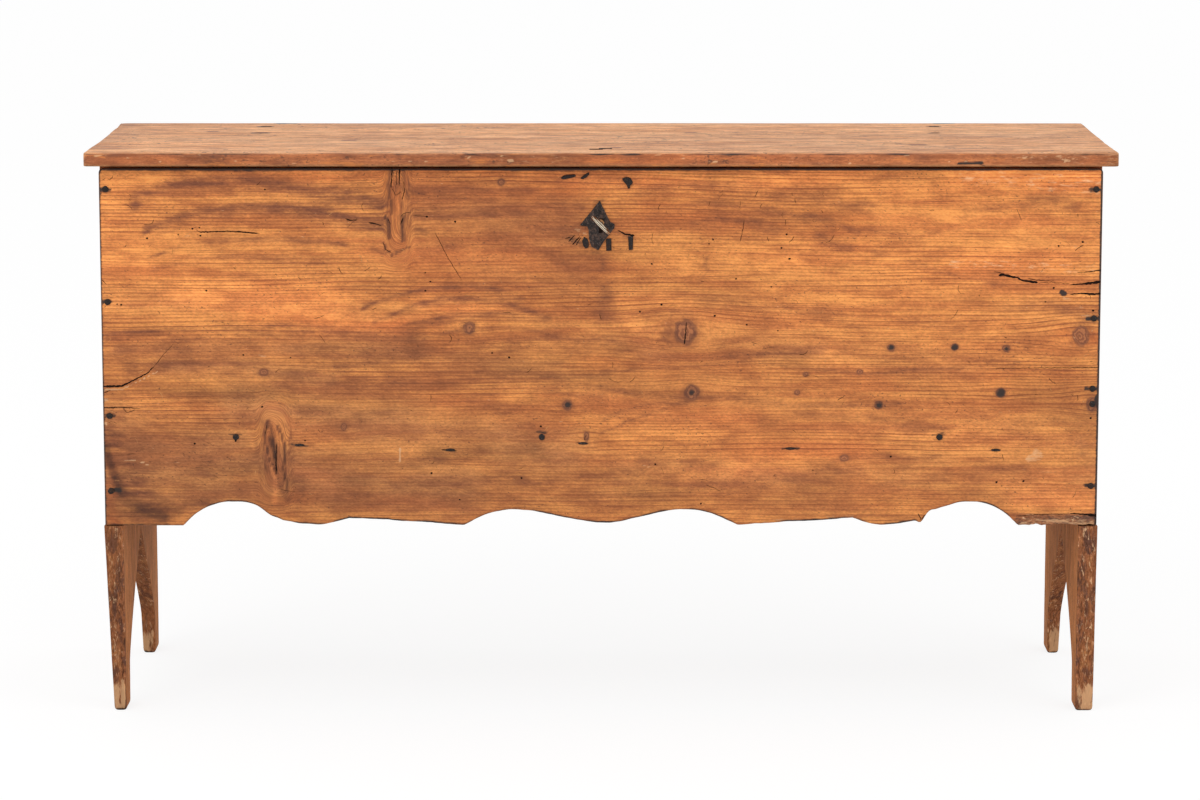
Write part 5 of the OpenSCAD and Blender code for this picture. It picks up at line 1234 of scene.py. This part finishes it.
def end_mesh(side, tapers):
    """Points and faces of an end board: two halves joined above the cut, with no faces between them."""
    mesh = bmesh.new()
    for half in (0, 1):
        x, y, z = end_half(side, half, tapers)
        made = [mesh.verts.new(v) for v in columns(x, y, z)[0].tolist()]
        turned = (side > 0) == (half == 0)
        for f in sweep_faces(*x.shape):
            mesh.faces.new([made[v] for v in (f[::-1] if turned else f)])
    tiny = 1e-6
    between = [f for f in mesh.faces
               if all(abs(v.co.y - MID_Y) < tiny and v.co.z > CUT_TOP - tiny for v in f.verts)]
    bmesh.ops.delete(mesh, geom=between, context="FACES")
    bmesh.ops.remove_doubles(mesh, verts=mesh.verts, dist=tiny)
    bmesh.ops.dissolve_degenerate(mesh, edges=mesh.edges, dist=tiny / 10)
    bmesh.ops.delete(mesh, geom=[v for v in mesh.verts if not v.link_faces], context="VERTS")
    mesh.verts.ensure_lookup_table()
    points = np.array([v.co[:] for v in mesh.verts])
    index = {v: i for i, v in enumerate(mesh.verts)}
    faces = [[index[v] for v in f.verts] for f in mesh.faces]
    mesh.free()
    return points, faces


def end_board(side, tapers):
    """An end board. side is -1 for the left and 1 for the right, and the feet narrow by the tapers."""
    points, faces = end_mesh(side, tapers)
    vx, vy, vz = points[:, 0], points[:, 1], points[:, 2]
    depth = (np.abs(vx) - END_IN) / END_T
    from_mid = np.abs(vy - MID_Y)
    across = vy + 5 * MM * layered(vz * 2.2, vy * 7, 105 + side) + (np.abs(vx) - END_IN) * 0.7
    knot = add_knots([(kz, ky * side, rz, ry) for kz, ky, rz, ry in END_KNOTS], vz, vy, across)
    inner = step(0.15, 0.02, depth)
    leg = vz < LEG_H
    edge = np.where(leg, step(CASE_D / 2 - 2 * MM, CASE_D / 2 + 0.5 * MM, from_mid), 0)
    cut_face = step(6 * MM, 1 * MM, from_mid - (CASE_D / 2 - foot_edge(vz))) * (vz < CUT_TOP)
    edge = np.maximum(edge, cut_face)
    arris = np.exp(-(((from_mid - CASE_D / 2) / (3 * MM)) ** 2) - ((depth - 0.02) / 0.08) ** 2) * leg
    smoke = 0.28 * (layered(vy * 14, vz * 5, 107 + side) + 0.2) + 0.35 * arris
    light = 0.5 + 0.08 * layered(vy * 12, vz * 4, 111) + (0.08 if side > 0 else -0.04) * edge
    light = light + 0.24 * inner * leg
    wavy = 12 * MM * ripple(vy * 40 + vx * 40, 112)
    foot = step(46 * MM, 24 * MM, vz + wavy) * (1 - 0.6 * inner) * (0.35 + 0.65 * edge)
    pale = foot * (0.80 + 0.7 * layered(vy * 150 + vx * 150, vz * 60, 113))
    blot = np.clip(layered(vx * 110 + vy * 20, vz * 34, 117) - 0.2, 0, 1) * edge
    dirt_and_shade = 0.75 * step(5 * MM, 0.0, vz) + 0.8 * blot + 0.38 * arris
    weather = np.maximum(edge, 0.9 * foot) * (0.85 + 0.3 * layered(vx * 50 + vy * 50, vz * 14, 119))
    look = paint(vz + 0.2 * vy, across, depth * END_T, smoke, light, 0.8 * inner * (1 - 0.35 * leg),
                 0.15 * leg * inner, knot, pale, dirt_and_shade, weather)
    name = "end_board_worn_left" if side < 0 else "end_board_worn_right"
    return make_object(name, points, faces, attributes=look)


dress(end_board(-1, (9 * MM, 8 * MM)), "chest", "case_pine", PINE_ENDS, "end_board_left")
dress(end_board(1, (2 * MM, 9 * MM)), "chest", "case_pine", PINE_ENDS, "end_board_right")

# ---------------------------------------------------------------- back and bottom boards


def long_board(name, box, spacing, counts, radius, seed, notches=()):
    """A plain long board between two corners, with its grain along X and raw wood inside the chest.
    A notch in its top is its middle, half width and depth."""
    low, high = box
    places, insets = board_sections(spacing, low[0], high[0], notches=[notch[:2] for notch in notches])
    z1 = np.full_like(places, high[2])
    for centre, half, deep in notches:
        z1 = np.where(np.abs(places - centre) < half, high[2] - deep, z1)
    shape = loop_shape(*counts)
    a, b = shape.T[:2, None]
    x, y, z = section_points(places, shape, low[1] + insets, (high[1] - low[1] - 2 * insets)[:, None],
                             low[2] + insets, (z1 - low[2] - 2 * insets)[:, None], radius)
    lies_flat = high[1] - low[1] > high[2] - low[2]
    if lies_flat:
        z -= (b == 1) * 0.3 * MM * (1 + layered(x * 5, y * 12, seed))
    else:
        y += (a == 0) * 0.3 * MM * (1 + layered(x * 5, z * 12, seed))
        y -= (a == 1) * 0.3 * MM * (1 + layered(x * 5, z * 12, seed + 1))
    verts, vx, vy, vz = columns(x, y, z)
    thin, thickness, wide = ((vz - low[2], high[2] - low[2], vy) if lies_flat
                             else (vy - low[1], high[1] - low[1], vz))
    across = wide + 6 * MM * layered(vx * 1.9, wide * 7, seed + 3) + thin * 0.7
    rng = np.random.default_rng(seed)
    knots = [(rng.uniform(low[0], high[0]), rng.uniform(wide.min(), wide.max()),
              rng.uniform(5, 12) * MM, rng.uniform(4, 9) * MM) for _ in range(9)]
    knot = add_knots(knots, vx, wide, across)
    look = paint(vx + 0.2 * wide, across, thin,
                 smoke=0.34 * (layered(vx * 5, wide * 15, seed + 5) + 0.3),
                 light=0.5 + 0.1 * layered(vx * 3, wide * 9, seed + 7),
                 raw=step(0.6, 0.2, thin / thickness), knot=knot,
                 pale=0.3 * layered(vx * 20, wide * 20, seed + 9) - 0.05,
                 dirt_and_shade=0.5 * layered(vx * 8, wide * 16, seed + 11) - 0.12)
    return make_object(name, verts, sweep_faces(*x.shape), attributes=look)


STRAP_GAINS = [(s * HINGE_X, 14 * MM, 3.4 * MM) for s in SIDES]
dress(long_board("back_board_worn", BACK_BOX, 5 * MM, (60, 5, 90, 5), 1.2 * MM, 201, STRAP_GAINS),
      "chest", "case_pine", PINE_BACK, "back_board")
dress(long_board("bottom_board_worn", BOTTOM_BOX, 8 * MM, (5, 44, 5, 44), 1.0 * MM, 231),
      "chest", "case_pine", PINE_BOTTOM, "bottom_board")

# ---------------------------------------------------------------- iron

SQUARE = ((-1, -1), (1, -1), (1, 1), (-1, 1))


def bridge(mesh, rings):
    """Faces between rings of points."""
    for a, b in zip(rings, rings[1:]):
        for k in range(len(a)):
            after = (k + 1) % len(a)
            mesh.faces.new([a[k], a[after], b[after], b[k]])


def closed(mesh, rings):
    """Faces between rings of points and over both ends."""
    bridge(mesh, rings)
    mesh.faces.new(rings[-1])
    mesh.faces.new(rings[0][::-1])


def forged_nail(mesh, spot, out, up, length, width, head_r, head_h, rng, long_head=0.0):
    """A hand-made nail: a facetted head and a shank that tapers on two sides. out points away from the
    wood. long_head is the length of a head that isn't round."""
    out, up, base = Vector(out), Vector(up), Vector(spot)
    side = up.cross(out)

    def at(u, v, w):
        return mesh.verts.new(base + side * u + up * v + out * w)

    n, rings = 14, []
    turn = rng.uniform(0, math.pi)
    for share, lift in ((1.0, 0.12), (0.96, 0.5), (0.62, 0.82), (0.3, 0.97)):
        ring = []
        for k in range(n):
            a = 2 * math.pi * k / n
            facet = 1 - 0.10 * abs(math.sin(2.5 * a + turn)) - 0.07 * rng.random()
            u, v = math.cos(a) * head_r * share * facet, math.sin(a) * head_r * share * facet
            if long_head:
                u = math.copysign(abs(math.cos(a)) ** 0.6, math.cos(a)) * long_head / 2 * share * facet
            ring.append(at(u, v, head_h * lift * (0.9 + 0.1 * rng.random())))
        rings.append(ring)
    seat = [mesh.verts.new(v.co - out * (v.co - base).dot(out)) for v in rings[0]]
    top = at(0, 0, head_h)
    bridge(mesh, [seat] + rings)
    for k in range(n):
        mesh.faces.new([rings[-1][k], rings[-1][(k + 1) % n], top])
    mesh.faces.new(seat[::-1])
    w = width / 2
    shank = ((0.5, -length), (1, 0))  # share of the width and height, at the tip and under the head
    closed(mesh, [[at(u * w * share, v * w, lift) for u, v in SQUARE] for share, lift in shank])


def from_bmesh(name, mesh, sharp=35):
    """An object of this mesh, with edges sharper than this angle left hard."""
    data = bpy.data.meshes.new(name)
    bmesh.ops.recalc_face_normals(mesh, faces=mesh.faces)
    mesh.to_mesh(data)
    mesh.free()
    data.polygons.foreach_set("use_smooth", [True] * len(data.polygons))
    data.set_sharp_from_angle(angle=math.radians(sharp))
    return place(name, data)


NAIL_L, NAIL_W = 56 * MM, 3.6 * MM


def nails(name, spots, out, seed, head_r=4.6 * MM, head_h=2 * MM, long_head=0.0):
    mesh, rng = bmesh.new(), np.random.default_rng(seed)
    for spot in spots:
        forged_nail(mesh, spot, out, (0, 0, 1), NAIL_L, NAIL_W, head_r, head_h, rng, long_head)
    return from_bmesh(name, mesh)


def strap_nails():
    """Nails driven up through the straps and the lid. Their tips lie flush, and only some still show."""
    mesh, rng = bmesh.new(), np.random.default_rng(12)
    low, high = CASE_TOP - 3 * MM, LID_HIGH.z
    for x, y in STRAP_NAILS:
        length = high - low - 2 * MM
        forged_nail(mesh, (x, y, low), (0, 0, -1), (0, 1, 0), length, 3 * MM, 4.6 * MM, 1.9 * MM, rng)
    outline = [(-0.5, 0.1), (-0.42, -0.45), (0.1, -0.55), (0.5, -0.2), (0.46, 0.3), (0.0, 0.5), (-0.4, 0.4)]
    levels = ((1.0, high - 2 * MM), (1.0, high - 0.25 * MM), (0.75, high - 0.05 * MM))
    wide = 4.2 * MM
    for x, y, long in STRAP_TIPS:
        closed(mesh, [[mesh.verts.new((x + u * long * share, y + v * wide * share, z))
                       for u, v in outline] for share, z in levels])
    return from_bmesh("strap_nails_forged", mesh, 40)


def clenched_tips():
    """The lock's nails: shanks through the board and flattened tips turned over on its face."""
    mesh, rng = bmesh.new(), np.random.default_rng(17)
    shank = 1.5 * MM  # half its width
    for outline, proud in TIPS:
        points = [on_front(*q) for q in outline]
        cx, cz = (sum(q[k] for q in points) / len(points) for k in (0, 1))

        def tip_ring(share, lift):
            ring = []
            for x, z in points:
                uneven = (rng.random() - 0.5) * 0.25 * (lift < 0)
                ring.append(mesh.verts.new((cx + (x - cx) * share, FRONT_Y + (lift + uneven) * MM,
                                            cz + (z - cz) * share)))
            return ring

        closed(mesh, [tip_ring(1.0, 0.9), tip_ring(1.0, -0.55 * proud), tip_ring(0.86, -0.9 * proud),
                      tip_ring(0.5, -1.0 * proud)])
        closed(mesh, [[mesh.verts.new((cx + u * shank, y, cz + v * shank)) for u, v in SQUARE]
                      for y in (FRONT_Y + 0.5 * MM, FRONT_Y + FRONT_T + 2.5 * MM)])
    return from_bmesh("clenched_tips", mesh, 50)


NAIL_X = CASE_W / 2 - 10 * MM
FRONT_OUT, BACK_OUT = (0, -1, 0), (0, 1, 0)
FLOOR_BOARD_Z, FLOOR_BOARD_T = LEG_H + 96 * MM, 24 * MM


def end_column(side, y, shares):
    """Spots of the nails into an end board, at shares of the front board's height."""
    return [(side * NAIL_X, y, LEG_H + share * FRONT_H) for share in shares]


def floor_row(y, spots):
    """Spots of nails into the bottom board, given as shares of the case's width and of its thickness."""
    return [(k * CASE_W, y, FLOOR_BOARD_Z + FLOOR_BOARD_T * share) for k, share in spots]


front_spots = end_column(-1, FRONT_Y, (0.099, 0.31, 0.628, 0.94))
front_spots += end_column(1, FRONT_Y, (0.114, 0.344, 0.387, 0.583, 0.94))
row_spots = floor_row(FRONT_Y, [(k, 0.86) for k in (-0.366, -0.0592, 0.3396)])
clasp_spots = floor_row(FRONT_Y, [(-0.3022, 0.42), (-0.1511, 0.16), (-0.0179, 0.52), (0.19, 0.24),
                                  (0.3964, 0.16)])
back_spots = [spot for side in SIDES for spot in end_column(side, BACK_Y, (0.086, 0.366, 0.645, 0.925))]
back_row_spots = floor_row(BACK_Y, [(k * 0.187, 0.5) for k in range(-2, 3)])
for obj, node in [
        (nails("front_nail_heads", front_spots, FRONT_OUT, 1), "front_nails"),
        (nails("front_row_nail_heads", row_spots, FRONT_OUT, 2), "front_bottom_nails"),
        (nails("clasp_nail_heads", clasp_spots, FRONT_OUT, 3, 1.8 * MM, 1 * MM, 14 * MM), "clasp_nails"),
        (nails("back_nail_heads", back_spots, BACK_OUT, 4), "back_nails"),
        (nails("back_row_nail_heads", back_row_spots, BACK_OUT, 5), "back_bottom_nails")]:
    dress(obj, "chest", "wrought_iron", FORGED, node)
dress(strap_nails(), "lid", "wrought_iron", FORGED, "strap_nails")
dress(clenched_tips(), "chest", "wrought_iron", FORGED, "lock_nails")


def keep(material, bevel, *nodes):
    """CAD pieces that stay as they are, with softened edges and their material."""
    for node in nodes:
        obj = NODES[node]
        mod = obj.modifiers.new("edges", "BEVEL")
        mod.width, mod.segments, mod.limit_method, mod.angle_limit = bevel, 2, "ANGLE", math.radians(35)
        mod.harden_normals = True
        obj.data.polygons.foreach_set("use_smooth", [True] * len(obj.data.polygons))
        coat(obj, material)


keep(FORGED, 0.5 * MM, "hinge_strap_left", "hinge_strap_right", "hinge_leaf_left", "hinge_leaf_right")
keep(FORGED, 0.25 * MM, "hinge_pin_left", "hinge_pin_right", "leaf_nails", "escutcheon_nails", "lid_staple")
keep(PLATE_IRON, 0.45 * MM, "escutcheon")
keep(LOCK_IRON, 0.3 * MM, "lock_plate", "lock_cap", "cap_rivets")
keep(WORKED, 0.2 * MM, "lock_guides", "lock_bolt", "bolt_spring", "drill_pin")
keep(KEY_METAL, 0.3 * MM, "key")

# ---------------------------------------------------------------- floor, light and camera

FLOOR_TONE, FLOOR_GLOW, FLOOR_SHADOW = 0.8, 0.84, 0.26
FLOOR_REACH = 60
WORLD_LIGHT = 0.72
LIGHTS_AIM_AT = (0, 0, 0.4)
# a long lens in front of the chest, half a metre above its lid, as the photograph's perspective shows
CAMERA_AT, CAMERA_AIMS_AT = (0.008, -5.34, 1.232), (-0.001, FRONT_Y, 0.409)
SENSOR_MM, LENS_MM = 36, 122.07


def stage_material(name):
    """A pale floor that reads as white to the camera and keeps a soft part of its shadows."""
    s = Shader(name)

    def diffuse(tone):
        return s.node("BsdfDiffuse", [("Color", (tone, tone, tone, 1))]).outputs[0]

    white = s.node("Emission", [("Strength", FLOOR_GLOW)]).outputs[0]
    both = s.node("AddShader", [(0, diffuse(FLOOR_TONE * FLOOR_SHADOW)), (1, white)]).outputs[0]
    return s.end(s.node("MixShader", [(0, s.backdrop_ray()), (1, diffuse(FLOOR_TONE)), (2, both)]))


corners = [(u * FLOOR_REACH, v * FLOOR_REACH, 0) for u, v in SQUARE]
floor = make_object("floor", corners, [[0, 1, 2, 3]], smooth=False)
coat(floor, stage_material("pale_floor"))

world = bpy.data.worlds.new("studio")
bpy.context.scene.world = world
studio = Shader("studio", world, "OutputWorld")
light_on_chest, white_behind = (
    studio.node("Background", [("Color", (1, 1, 1, 1)), ("Strength", strength)]).outputs[0]
    for strength in (WORLD_LIGHT, 1.0))
studio.end(studio.node("MixShader", [(0, studio.backdrop_ray()), (1, light_on_chest), (2, white_behind)]))


def aim(obj, at, target):
    obj.location = at
    obj.rotation_euler = (Vector(target) - obj.location).to_track_quat("-Z", "Y").to_euler()


def area_light(name, at, size, power):
    light = bpy.data.lights.new(name, "AREA")
    light.shape, light.size, light.size_y, light.energy = "RECTANGLE", size[0], size[1], power
    aim(place(name, light), at, LIGHTS_AIM_AT)


area_light("key_light", (-1.6, -2.6, 2.9), (2.2, 1.6), 26)
area_light("fill_light", (2.4, -2.2, 2.0), (2.0, 2.0), 10)

camera_data = bpy.data.cameras.new("camera")
camera_data.sensor_width, camera_data.lens = SENSOR_MM, LENS_MM
camera = place("camera", camera_data)
aim(camera, CAMERA_AT, CAMERA_AIMS_AT)
bpy.context.scene.camera = camera
bpy.context.scene.view_settings.view_transform = "Standard"
